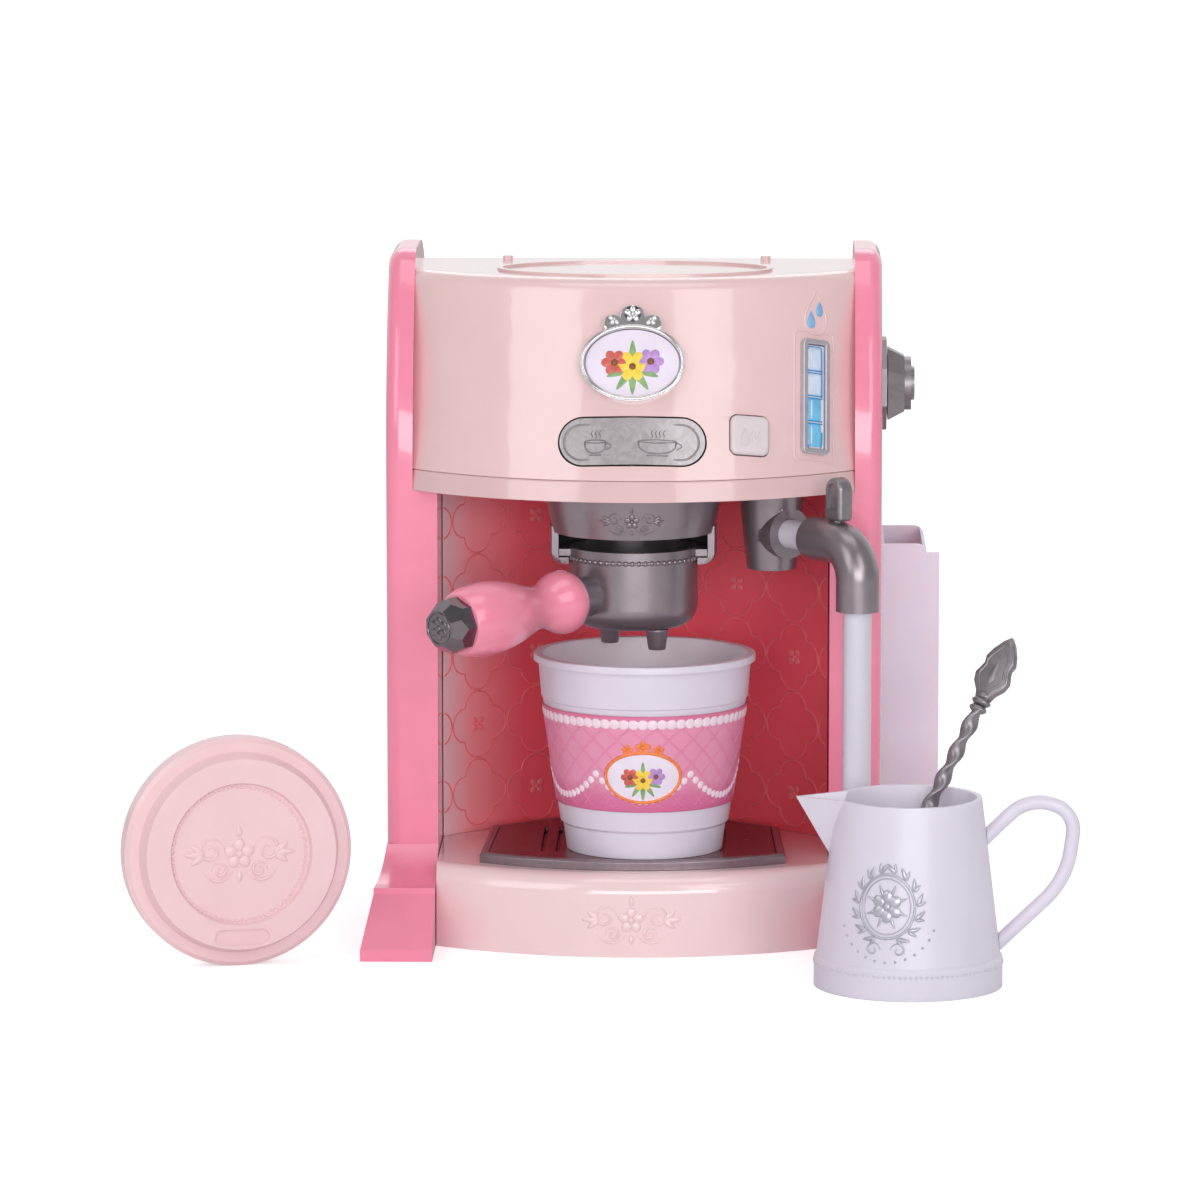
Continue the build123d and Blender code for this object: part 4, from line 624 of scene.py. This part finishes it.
def sprig(shape, place, width, height, rise):
    """Blossom between mirrored scrolls and leaves."""
    line = 0.055 * height
    blossom(shape, place, 0, 0, 0.27 * height, rise)
    for hand in (-1, 1):
        start = 90 - 90 * hand
        outer = scroll(
            hand * 0.29 * width, 0.06 * height, radius=0.25 * height, start=start + 180, turns=-hand * 1.4,
        )
        ridge(shape, place, outer, line, rise, taper=True)
        inner = scroll(
            hand * 0.2 * width, -0.28 * height, radius=0.15 * height, start=start, turns=hand * 1.3,
        )
        ridge(shape, place, inner, line, rise, taper=True)
        for lean, length in ((38, 0.3), (2, 0.36), (-36, 0.28)):
            turn = lean if hand > 0 else 180 - lean
            blade = leaf(hand * 0.36 * width, 0, length=length * height, width=0.15 * height, turn=turn)
            dome(shape, place, blade, rise)
        stem = []
        for i in range(11):
            sag = 0.3 + 0.16 * math.sin(math.pi * i / 10)
            stem.append((hand * width * (0.06 + 0.032 * i), -height * sag))
        ridge(shape, place, stem, line, rise, taper=True)
    for hand in (1, -1):
        blade = leaf(0, hand * 0.3 * height, length=0.2 * height, width=0.12 * height, turn=hand * 90)
        dome(shape, place, blade, rise)


def stadium(half_width, half_height, count=16):
    """Outline with half-round ends."""
    points = []
    for hand in (1, -1):
        for i in range(count + 1):
            angle = math.pi * (i / count - 0.5)
            reach = half_width - half_height + half_height * math.cos(angle)
            points.append((hand * reach, hand * half_height * math.sin(angle)))
    return points


def wisp(u, v, sway, step, drift=0.0):
    """Line of steam that rises from a point in small waves."""
    return [(u + sway * math.sin(0.9 * i) + drift * i, v + step * i) for i in range(9)]


def steaming_cup(shape, place, u, half_width, depth, wisps):
    """Raised outline of a cup with its rim, handle, foot and wisps of steam."""
    rim_v = 0.2
    handle_v = -0.1
    handle_bow = 1.9
    handle_drop = 2.6
    foot_gap = 0.55
    foot_half = 0.55 * half_width
    wisp_v = 1.2
    wisp_pitch = 1.35
    bowl = []
    for i in range(17):
        angle = math.pi * (1 + i / 16)
        bowl.append((u + half_width * math.cos(angle), rim_v - depth * abs(math.sin(angle)) ** 0.6))
    ridge(shape, place, bowl, width=0.55, height=0.4)
    rim = oval(u, rim_v, half_width, half_height=0.55, count=20)
    ridge(shape, place, rim, width=0.4, height=0.35, closed=True)
    handle = []
    for i in range(9):
        bow = handle_bow * math.sin(math.pi * i / 8)
        handle.append((u + half_width + bow, handle_v - handle_drop * i / 8))
    ridge(shape, place, handle, width=0.45, height=0.35)
    foot = [(u + foot_half * (i / 4 - 1), -foot_gap - depth) for i in range(9)]
    ridge(shape, place, foot, width=0.5, height=0.4)
    for i in range(wisps):
        wisp_u = u + wisp_pitch * (i - (wisps - 1) / 2)
        steam = wisp(wisp_u, wisp_v, sway=0.35, step=0.36, drift=0.07)
        ridge(shape, place, steam, width=0.45, height=0.35, taper=True)


# The hood's face leans back by this share of its height, and the ruling runs straight up it
hood_lean = 0.29491
ruling = Vector((0, hood_lean, 1)).normalized()

# Water gauge: an outline and two drops on the hood, and a level of four bars in the window
gauge = middle("gauge_window")
hood_gauge = face_of("hood_shell", gauge, ruling)
gauge_line = Shape()
gauge_border = box_outline(0, 0, half_width=8.4, half_height=22.6, power=14, count=64)
ridge(gauge_line, hood_gauge, gauge_border, width=0.7, height=0.3, closed=True)
drop_border = drop(0.6, 29.5, half_width=5.2, half_height=7.6, count=30)
ridge(gauge_line, hood_gauge, drop_border, width=0.7, height=0.3, closed=True)
gauge_line.make("gauge_outline", pale_pink, "machine", "light_pink_plastic")
gauge_drops = Shape()
dome(gauge_drops, hood_gauge, drop(-1.4, 27.0, half_width=2.0, half_height=3.2), height=0.6)
dome(gauge_drops, hood_gauge, drop(2.1, 31.0, half_width=1.7, half_height=2.8), height=0.6)
gauge_drops.make("gauge_drops", drop_blue, "machine", "gauge_blue")
window = face_of("gauge_window", gauge, ruling)
bar_height = 8.2
bar_gap = 0.6
bar_pitch = bar_height + bar_gap
bar_places = [(index - 1.5) * bar_pitch for index in range(4)]
for index, tint in enumerate((bar_deep, bar_deep, bar_pale, bar_pale)):
    bar = Shape()
    bar_outline = box_outline(0, bar_places[index], half_width=2.9, half_height=bar_height / 2)
    dome(bar, window, bar_outline, height=0.55)
    bar.make(f"gauge_bar_{index + 1}", tint, "machine", "gauge_blue")
gauge_marks = Shape()
line_half_gap = 0.45
for index in range(3):
    for hand in (-1, 1):
        mark_v = (index - 1) * bar_pitch + hand * line_half_gap
        ridge(gauge_marks, window, [(u, mark_v) for u in (-3.1, -1, 1, 3.1)], width=0.45, height=0.7)
window_border = box_outline(0, 0, half_width=3.1, half_height=17.6, power=12, count=60)
ridge(gauge_marks, window, window_border, width=0.4, height=0.5, closed=True)
gauge_marks.make("gauge_marks", bar_edge, "machine", "gauge_blue")
gauge_glints = Shape()
glint = [(-1.5, v) for v in (-3.2, -1, 1, 3.2)]
for bar_v in bar_places:
    ridge(gauge_glints, shifted(window, 0, bar_v, lift=0.45), glint, width=0.7, height=0.15)
gauge_glints.make("gauge_glints", gauge_white, "machine", "gauge_blue")

# Rocker: a raised border, and a small and a large steaming cup
rocker_face = face_of("brew_rocker", rocker_place, ruling)
rocker_marks = Shape()
rocker_border = stadium(half_width=22.9, half_height=6.1)
ridge(rocker_marks, rocker_face, rocker_border, width=0.8, height=0.35, closed=True)
steaming_cup(rocker_marks, rocker_face, -12.4, half_width=3.5, depth=4.0, wisps=3)
steaming_cup(rocker_marks, rocker_face, 8.6, half_width=6.5, depth=4.2, wisps=4)
rocker_marks.make("rocker_marks", dark_silver, "brew_rocker", "silver_plastic")

# Steam button: a raised drop and wisps of steam
button_face = face_of("steam_button", button_place, ruling)
button_mark = Shape()
button_drop = drop(-1.7, -0.2, half_width=1.7, half_height=2.9, count=24)
ridge(button_mark, button_face, button_drop, width=0.4, height=0.3, closed=True)
for wisp_u in (0.9, 2.2, 3.5):
    steam = wisp(wisp_u, -2.6, sway=0.4, step=0.55)
    ridge(button_mark, button_face, steam, width=0.45, height=0.3, taper=True)
button_mark.make("button_mark", button_clear, "steam_button", "clear_button")

# Badge: a chrome rim with three blossoms on dark discs of painted shade for the crest's recess, and a picture
# of a bouquet
badge = middle("badge_insert")
badge_facing = Vector((0, -1, hood_lean))
rim_place = onto("badge_frame", badge, badge_facing, ruling)
badge_rim = Shape()
badge_oval = oval(0, 0, half_width=17.1, half_height=12.6, count=72)
ridge(badge_rim, rim_place, badge_oval, width=1.3, height=0.5, closed=True)
# Painted shade: dark discs under the crest's blossoms stand in for the shade in its recess
badge_shade_ground = Shape()
shade_disc_share = 0.86
petal_share = 0.92
for u, v, radius in ((0, 16.9, 3.3), (-6.2, 15.0, 2.5), (6.2, 15.0, 2.5)):
    disc = oval(u, v, shade_disc_share * radius, shade_disc_share * radius, count=20)
    dome(badge_shade_ground, rim_place, disc, height=0.2)
    blossom(badge_rim, rim_place, u, v, petal_share * radius, height=0.55)
badge_rim.make("badge_rim", chrome, "machine", "chrome_trim")
badge_shade_ground.make("badge_shade_ground", dark_plastic, "machine", "chrome_trim")
card = onto("badge_insert", badge, badge_facing, ruling)
bouquet_leaf_turns = (-160, -125, -90, -55, -20, 150, 30, 90)
bouquet_flowers = (
    ("coral", petal_coral, -6.2, 0.2, 4.6),
    ("lilac", petal_lilac, 6.2, 0.6, 4.6),
    ("yellow", petal_yellow, 0, -1.2, 5.6),
)


def bouquet(name, place, scale, body, slot):
    """Three blossoms over leaves, each colour its own piece."""
    leaves = Shape()
    for turn in bouquet_leaf_turns:
        blade = leaf(0, -1.5 * scale, length=9.5 * scale, width=3.2 * scale, turn=turn)
        dome(leaves, place, blade, height=0.16)
    leaves.make(f"{name}_leaves", leaf_green, body, slot)
    for part, tint, u, v, radius in bouquet_flowers:
        flower = Shape()
        blossom(flower, place, u * scale, v * scale, radius * scale, height=0.3, petals=6, turn=60)
        flower.make(f"{name}_{part}_flower", tint, body, slot)
    hearts = Shape()
    heart_radius = 1.3 * scale
    for _, _, u, v, _ in bouquet_flowers:
        dome(hearts, place, oval(u * scale, v * scale, heart_radius, heart_radius), height=0.62)
    hearts.make(f"{name}_hearts", heart_brown, body, slot)


bouquet("badge", card, 1.0, "machine", "picture_card")

# Bay liner: a raised grid of quatrefoils with a small blossom in every other one
lattice = Shape()
liner = around("bay_liner", liner_axis, liner_radius, inside=True)
liner_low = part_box("bay_liner")[0][2] / mm
foil_pitch = 24.4
foil_size = 23.4
foil_start = 14.0
foil_rows = 6
foil_half_columns = 4
for row in range(foil_rows):
    foil_v = liner_low + foil_start + row * foil_pitch
    for column in range(-foil_half_columns, foil_half_columns + 1):
        foil_u = (column + 0.5) * foil_pitch
        foil = quatrefoil(foil_u, foil_v, foil_size)
        ridge(lattice, liner, foil, width=0.6, height=0.4, closed=True)
        if (column + row) % 2 == 0:
            blossom(lattice, liner, foil_u, foil_v, radius=3.2, height=0.35, petals=4, turn=45)
lattice.make("bay_lattice", lattice_shade_pink, "machine", "light_pink_plastic")

# Scroll reliefs on the base, the group head and the lid
base_relief = Shape()
base_place = onto("base_housing", (0, -71, 13.0), front)
sprig(base_relief, base_place, width=31.0, height=17.0, rise=0.7)
base_relief.make("base_relief", base_pink, "machine", "light_pink_plastic")
group_relief = Shape()
group_place = onto("group_head", (0, -62, 149.6), front)
sprig(group_relief, group_place, width=21.0, height=10.0, rise=0.6)
group_relief.make("group_relief", silver, "machine", "silver_plastic")
lid_relief = Shape()
lid_turn = math.radians(16)
lid_place = onto("cup_lid", middle("cup_lid"), (math.sin(lid_turn), -math.cos(lid_turn), 0))
sprig(lid_relief, lid_place, width=34.0, height=20.0, rise=0.6)
lid_bead = 0.6
for u, v in oval(0, 0, half_width=23.0, half_height=23.0, count=90):
    dome(lid_relief, lid_place, oval(u, v, lid_bead, lid_bead, count=8), height=0.5, layers=3)
lid_relief.make("lid_relief", lid_pink, "cup_lid", "light_pink_plastic")

# Portafilter: beads round the basket and a medallion on the grip's end
basket_beads = Shape()
bead_count = 62
bead_radius = 0.95
bead_ring_radius = 22.3
bead_ring_centre = group_axis + Vector((0, 0, 134.1))
for i in range(bead_count):
    angle = 2 * math.pi * i / bead_count
    spoke = Vector((math.sin(angle), -math.cos(angle), 0))
    ball(basket_beads, bead_ring_centre + spoke * bead_ring_radius, bead_radius)
basket_beads.make("basket_beads", silver, "portafilter", "silver_plastic")
handle_droop = math.radians(3.5)
handle_reach = math.sqrt(0.5) * math.cos(handle_droop)
handle_facing = Vector((-handle_reach, -handle_reach, -math.sin(handle_droop)))
cap_place = onto("grip_end_cap", middle("grip_end_cap"), handle_facing)
medallion = Shape()
medallion_rim = oval(0, 0, half_width=5.4, half_height=5.4, count=40)
ridge(medallion, cap_place, medallion_rim, width=0.7, height=0.4, closed=True)
blossom(medallion, cap_place, 0, 0, radius=4.2, height=0.5, petals=6)
medallion.make("cap_medallion", cap_metal, "portafilter", "silver_plastic")

# Cup sleeve: pearls, swags, a fine lattice and an oval with a bouquet
sleeve_radius = 33.0
sleeve_low, sleeve_high = (corner[2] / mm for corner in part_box("cup_sleeve"))
sleeve = around("cup_sleeve", cup_axis, sleeve_radius)
girth = 2 * math.pi * sleeve_radius
pearls = Shape()
pearl_count = 66
pearl_v = sleeve_high - 2.9
for i in range(pearl_count):
    pearl = oval(girth * i / pearl_count, pearl_v, half_width=1.85, half_height=1.8, count=10)
    dome(pearls, sleeve, pearl, height=0.3, layers=3)
swag_count = 6
swag_pearls = 15
swag_top = sleeve_low + 13.0
swag_depth = 9.0
swag_pearl = 1.35
for i in range(swag_count):
    for j in range(swag_pearls):
        share = j / swag_pearls
        hang = 1 - (2 * share - 1) ** 2
        pearl_u = girth * (i - 0.5 + share) / swag_count
        pearl = oval(pearl_u, swag_top - swag_depth * hang, swag_pearl, swag_pearl, count=10)
        dome(pearls, sleeve, pearl, height=0.3, layers=3)
pearls.make("sleeve_pearls", pearl_pink, "cup", "printed_sleeve")
sleeve_lines = Shape()
tile_count = 24
tile_rows = 7
tile = girth / tile_count
tile_low = sleeve_low + 4.0
tile_share = 0.92
for row in range(tile_rows):
    for column in range(tile_count):
        tile_u = (column + 0.5 * (row % 2)) * tile
        foil = quatrefoil(tile_u, tile_low + row * tile / 2, tile_share * tile, count=5)
        ridge(sleeve_lines, sleeve, foil, width=0.28, height=0.1, closed=True)
sleeve_lines.make("sleeve_lattice", sleeve_line, "cup", "printed_sleeve")
picture_v = sleeve_low + 12.4
picture = shifted(sleeve, 0, picture_v)
oval_card = Shape()
dome(oval_card, picture, oval(0, 0, half_width=13.2, half_height=8.7, count=40), height=0.45, layers=6)
oval_card.make("sleeve_oval", card_white, "cup", "printed_sleeve")
oval_ring = Shape()
ring_oval = oval(0, 0, half_width=13.3, half_height=8.8, count=56)
ridge(oval_ring, picture, ring_oval, width=1.3, height=0.6, closed=True)
for u, v, radius in ((0, 10.6, 2.8), (-5.2, 9.6, 2.1), (5.2, 9.6, 2.1)):
    blossom(oval_ring, picture, u, v, radius, height=0.4)
oval_ring.make("sleeve_oval_ring", ring_orange, "cup", "printed_sleeve")
picture_face = shifted(sleeve, 0, picture_v, lift=0.35)
bouquet("sleeve", picture_face, 0.72, "cup", "printed_sleeve")

# Pitcher: a line of fine beads and a silver wreath
pitcher_radius = 29.0
pitcher = around("milk_pitcher", pitcher_axis, pitcher_radius, turn=-16)
pitcher_girth = 2 * math.pi * pitcher_radius
pitcher_beads = Shape()
pitcher_bead_count = 110
pitcher_bead_v = 8.2
fine_bead = 0.5
for i in range(pitcher_bead_count):
    bead_u = pitcher_girth * i / pitcher_bead_count
    bead = oval(bead_u, pitcher_bead_v, fine_bead, fine_bead, count=6)
    dome(pitcher_beads, pitcher, bead, height=0.4, layers=2)
pitcher_beads.make("pitcher_beads", lilac_white, "milk_pitcher", "white_plastic")
wreath = Shape()
wreath_place = shifted(pitcher, 0, 31.5)
outer_oval = oval(0, 0, half_width=9.6, half_height=10.6, count=56)
ridge(wreath, wreath_place, outer_oval, width=0.9, height=0.5, closed=True)
inner_oval = oval(0, 0, half_width=8.2, half_height=9.2, count=56)
ridge(wreath, wreath_place, inner_oval, width=0.4, height=0.35, closed=True)
blossom(wreath, wreath_place, 0, 0, radius=5.6, height=0.5, petals=6)
ray_start = 3.4
for turn in range(22, 360, 45):
    ray_u = ray_start * math.cos(math.radians(turn))
    ray_v = ray_start * math.sin(math.radians(turn))
    dome(wreath, wreath_place, leaf(ray_u, ray_v, length=4.4, width=1.3, turn=turn), height=0.35)
wreath_half_width = 10.4
wreath_half_height = 11.4
for hand in (-1, 1):
    for angle in range(-70, 75, 24):
        leaf_u = hand * wreath_half_width * math.cos(math.radians(angle))
        leaf_v = wreath_half_height * math.sin(math.radians(angle))
        for lean, length, width, height in ((62, 4.6, 1.9, 0.45), (20, 3.4, 1.4, 0.4)):
            turn = angle + lean if hand > 0 else 180 - angle - lean
            dome(wreath, wreath_place, leaf(leaf_u, leaf_v, length, width, turn), height)
    curl = scroll(hand * 4.2, -14.4, radius=2.6, start=90 + 90 * hand, turns=-hand * 1.2, count=16)
    ridge(wreath, wreath_place, curl, width=0.7, height=0.45, taper=True)
dot_count = 13
dot_start = 205
dot_sweep = 130
dots_half_width = 17.6
dots_half_height = 18.6
for i in range(dot_count):
    angle = math.radians(dot_start + dot_sweep * i / (dot_count - 1))
    dot_u = dots_half_width * math.cos(angle)
    dot_v = dots_half_height * math.sin(angle)
    dome(wreath, wreath_place, oval(dot_u, dot_v, fine_bead, fine_bead, count=6), height=0.35, layers=2)
wreath.make("pitcher_wreath", wreath_silver, "milk_pitcher", "white_plastic")

# Spoon: a flat bowl, a twisted stem, a collar of three rings and a pointed head
spoon_length = 125.5
spoon_turn = math.radians(58)
spoon_rim_reach = 19.3
pitcher_height = 64.0
spoon_foot = pitcher_axis + Vector((-20.0, 0, 5.2))
spoon_rim = pitcher_axis + Vector((
    spoon_rim_reach * math.cos(spoon_turn),
    spoon_rim_reach * math.sin(spoon_turn),
    pitcher_height,
))
spoon_up = (spoon_rim - spoon_foot).normalized()
along_rim = Vector((-math.sin(spoon_turn), math.cos(spoon_turn), 0))
spoon_side = (along_rim - spoon_up * along_rim.dot(spoon_up)).normalized()
spoon_out = spoon_up.cross(spoon_side)
head_length = 24.0
head_low = spoon_length - head_length


def spoon_point(along, side, out):
    """Point at a distance from the spoon's foot, across its flat face and out of it."""
    return (spoon_foot + spoon_up * along + spoon_side * side + spoon_out * out) * mm


def spoon_ring(along, half_side, half_out, twist=0.0, count=16):
    """Oval section of the spoon at a distance from its foot."""
    ring = []
    for i in range(count):
        angle = 2 * math.pi * i / count
        a = half_side * math.cos(angle)
        b = half_out * math.sin(angle)
        side = a * math.cos(twist) - b * math.sin(twist)
        out = a * math.sin(twist) + b * math.cos(twist)
        ring.append(spoon_point(along, side, out))
    return ring


spoon = Shape()
bowl_length = 22.0
bowl_half_width = 6.4
bowl_tip = 0.6
bowl_start = 0.02
bowl_span = 0.9
bowl_steps = 10
bowl_rings = []
for i in range(bowl_steps + 1):
    share = bowl_start + bowl_span * i / bowl_steps
    half_width = bowl_half_width * math.sin(math.pi * share) ** 0.7
    bowl_rings.append(spoon_ring(bowl_length * share, max(half_width, bowl_tip), half_out=1.1))
spoon.loft(bowl_rings)
twist_pitch = 20.0
stem_low = bowl_length * 0.85
stem_high = head_low - 2
stem_steps = 120
stem_rings = []
for i in range(stem_steps + 1):
    along = stem_low + (stem_high - stem_low) * i / stem_steps
    twist = 2 * math.pi * along / twist_pitch
    stem_rings.append(spoon_ring(along, half_side=2.8, half_out=1.7, twist=twist, count=14))
spoon.loft(stem_rings)
collar_height = 2.4
collar_waist = 0.62
collar_flatness = 0.8
for collar, radius in ((head_low - 3.2, 3.3), (head_low - 0.6, 3.6), (head_low + 1.6, 3.0)):
    collar_rings = []
    for i in range(7):
        along = collar + collar_height * (i / 6 - 0.5)
        bulge = radius * (collar_waist + (1 - collar_waist) * math.sin(math.pi * (i + 0.5) / 7))
        collar_rings.append(spoon_ring(along, bulge, collar_flatness * bulge))
    spoon.loft(collar_rings)
head_points = [
    (0, 2.6), (2.5, 3.6), (5.5, 6.2), (8.2, 7.0), (10.6, 6.0),
    (12.6, 5.3), (15.0, 5.9), (18.0, 4.6), (21.5, 2.2),
]
head_outline = [(half, along) for along, half in head_points]
head_outline.append((0, head_length - 0.4))
head_outline.extend((-half, along) for along, half in reversed(head_points))
head_middle = 10.0
head_rings = []
for inset, out in ((0.82, -1.6), (0.95, -1.45), (1.0, -0.9), (1.0, 0.9), (0.95, 1.45), (0.82, 1.6)):
    ring = []
    for side, along in head_outline:
        reach = head_low + head_middle + (along - head_middle) * inset
        ring.append(spoon_point(reach, side * inset, out))
    head_rings.append(ring)
spoon.loft(head_rings)
head_half = 1.5
rim_inset = 0.72
for hand in (-1, 1):
    head_origin = spoon_foot + spoon_up * head_low + spoon_out * head_half * hand
    head_face = flat(head_origin, spoon_side * -hand, spoon_up)
    rim = []
    for side, along in head_outline:
        rim.append((-hand * side * rim_inset, head_middle + (along - head_middle) * rim_inset))
    ridge(spoon, head_face, rim, width=0.9, height=0.45, closed=True)
    dome(spoon, head_face, leaf(0, 5.5, length=9.0, width=3.4, turn=90), height=0.4)
spoon.make("twisted_spoon", dark_silver, "spoon", "silver_plastic", "spoon")

# Floor, light and camera
floor_half = 60.0
floor_signs = ((-1, -1), (1, -1), (1, 1), (-1, 1))
floor_corners = [(x * floor_half, y * floor_half, 0) for x, y in floor_signs]
floor_mesh = bpy.data.meshes.new("floor")
floor_mesh.from_pydata(floor_corners, [], [(0, 1, 2, 3)])
floor = bpy.data.objects.new("floor", floor_mesh)
floor.location.z = cad_box[0][2]
scene.collection.objects.link(floor)


def seen_directly(tree):
    """1 for rays from the camera, which show the background."""
    return tree.nodes.new("ShaderNodeLightPath").outputs["Is Camera Ray"]


# Glow of the floor for the camera, near the object and far from it, with the two distances in metres
near_glow = 0.5
far_glow = 0.85
near_radius = 0.35
far_radius = 1.5


def floor_finish():
    """White floor that keeps the shadow near the object and turns to plain white further out."""
    material = bpy.data.materials.new("floor_white")
    material.use_nodes = True
    tree = material.node_tree
    tree.nodes.remove(tree.nodes["Principled BSDF"])
    matt = tree.nodes.new("ShaderNodeBsdfDiffuse")
    matt.inputs["Color"].default_value = srgb(238, 238, 238)
    place = tree.nodes.new("ShaderNodeTexCoord")
    reach = tree.nodes.new("ShaderNodeVectorMath")
    reach.operation = "LENGTH"
    tree.links.new(place.outputs["Object"], reach.inputs[0])
    glow = tree.nodes.new("ShaderNodeMapRange")
    glow.inputs["From Min"].default_value = near_radius
    glow.inputs["From Max"].default_value = far_radius
    glow.inputs["To Min"].default_value = near_glow
    glow.inputs["To Max"].default_value = far_glow
    tree.links.new(reach.outputs["Value"], glow.inputs["Value"])
    shown = tree.nodes.new("ShaderNodeMath")
    shown.operation = "MULTIPLY"
    tree.links.new(glow.outputs["Result"], shown.inputs[0])
    tree.links.new(seen_directly(tree), shown.inputs[1])
    light = tree.nodes.new("ShaderNodeEmission")
    tree.links.new(shown.outputs[0], light.inputs["Strength"])
    both = tree.nodes.new("ShaderNodeAddShader")
    tree.links.new(matt.outputs[0], both.inputs[0])
    tree.links.new(light.outputs[0], both.inputs[1])
    tree.links.new(both.outputs[0], tree.nodes["Material Output"].inputs["Surface"])
    return material


floor_mesh.materials.append(floor_finish())

# Brightness of the room and of the backdrop, and how far back a direction points where one turns to the other
room_light = 0.34
backdrop_light = 0.95
room_end = 0.1
backdrop_start = 0.6


def studio():
    """Dim room in front of a white backdrop; the camera sees plain white."""
    world = bpy.data.worlds.new("studio")
    scene.world = world
    world.use_nodes = True
    tree = world.node_tree
    place = tree.nodes.new("ShaderNodeTexCoord")
    parts = tree.nodes.new("ShaderNodeSeparateXYZ")
    tree.links.new(place.outputs["Generated"], parts.inputs["Vector"])
    behind = tree.nodes.new("ShaderNodeMapRange")
    behind.inputs["From Min"].default_value = room_end
    behind.inputs["From Max"].default_value = backdrop_start
    behind.inputs["To Min"].default_value = room_light
    behind.inputs["To Max"].default_value = backdrop_light
    tree.links.new(parts.outputs["Y"], behind.inputs["Value"])
    level = tree.nodes.new("ShaderNodeMath")
    level.operation = "MAXIMUM"
    tree.links.new(behind.outputs["Result"], level.inputs[0])
    tree.links.new(seen_directly(tree), level.inputs[1])
    backdrop = tree.nodes["Background"]
    tree.links.new(level.outputs[0], backdrop.inputs["Strength"])
    backdrop.inputs["Color"].default_value = (1, 1, 1, 1)


studio()

# Middle of the object that the lamps point at, in millimetres
light_aim = Vector((0, -20, 130))


def softbox(name, azimuth, elevation, distance, width, height, radiance):
    """Rectangular lamp at angles in degrees, right of the front and up, with its sizes in metres."""
    lamp = bpy.data.lights.new(name, "AREA")
    lamp.shape = "RECTANGLE"
    lamp.size = width
    lamp.size_y = height
    lamp.energy = radiance * math.pi * width * height
    holder = bpy.data.objects.new(name, lamp)
    turn = math.radians(azimuth)
    rise = math.radians(elevation)
    away = Vector((math.sin(turn) * math.cos(rise), -math.cos(turn) * math.cos(rise), math.sin(rise)))
    holder.location = light_aim * mm + away * distance
    holder.rotation_euler = (-away).to_track_quat("-Z", "Y").to_euler()
    scene.collection.objects.link(holder)


softbox("left_softbox", azimuth=-38, elevation=26, distance=1.5, width=0.72, height=0.9, radiance=2.0)
softbox("right_softbox", azimuth=29, elevation=26, distance=1.5, width=0.58, height=0.9, radiance=2.05)
softbox("top_softbox", azimuth=0, elevation=80, distance=1.4, width=1.0, height=0.6, radiance=1.4)
softbox("front_softbox", azimuth=6, elevation=7, distance=3.2, width=2.4, height=0.9, radiance=4.9)
softbox("back_softbox", azimuth=180, elevation=40, distance=1.6, width=1.2, height=0.7, radiance=1.2)

camera_data = bpy.data.cameras.new("photograph")
camera_data.lens = camera_lens
camera_data.sensor_width = 36.0
camera_data.clip_end = 200.0
camera = bpy.data.objects.new("photograph", camera_data)
camera.location = camera_place * mm
level_share = math.cos(camera_pitch)
sight = Vector((
    math.sin(camera_yaw) * level_share,
    math.cos(camera_yaw) * level_share,
    -math.sin(camera_pitch),
))
camera.rotation_euler = sight.to_track_quat("-Z", "Y").to_euler()
scene.collection.objects.link(camera)
scene.camera = camera
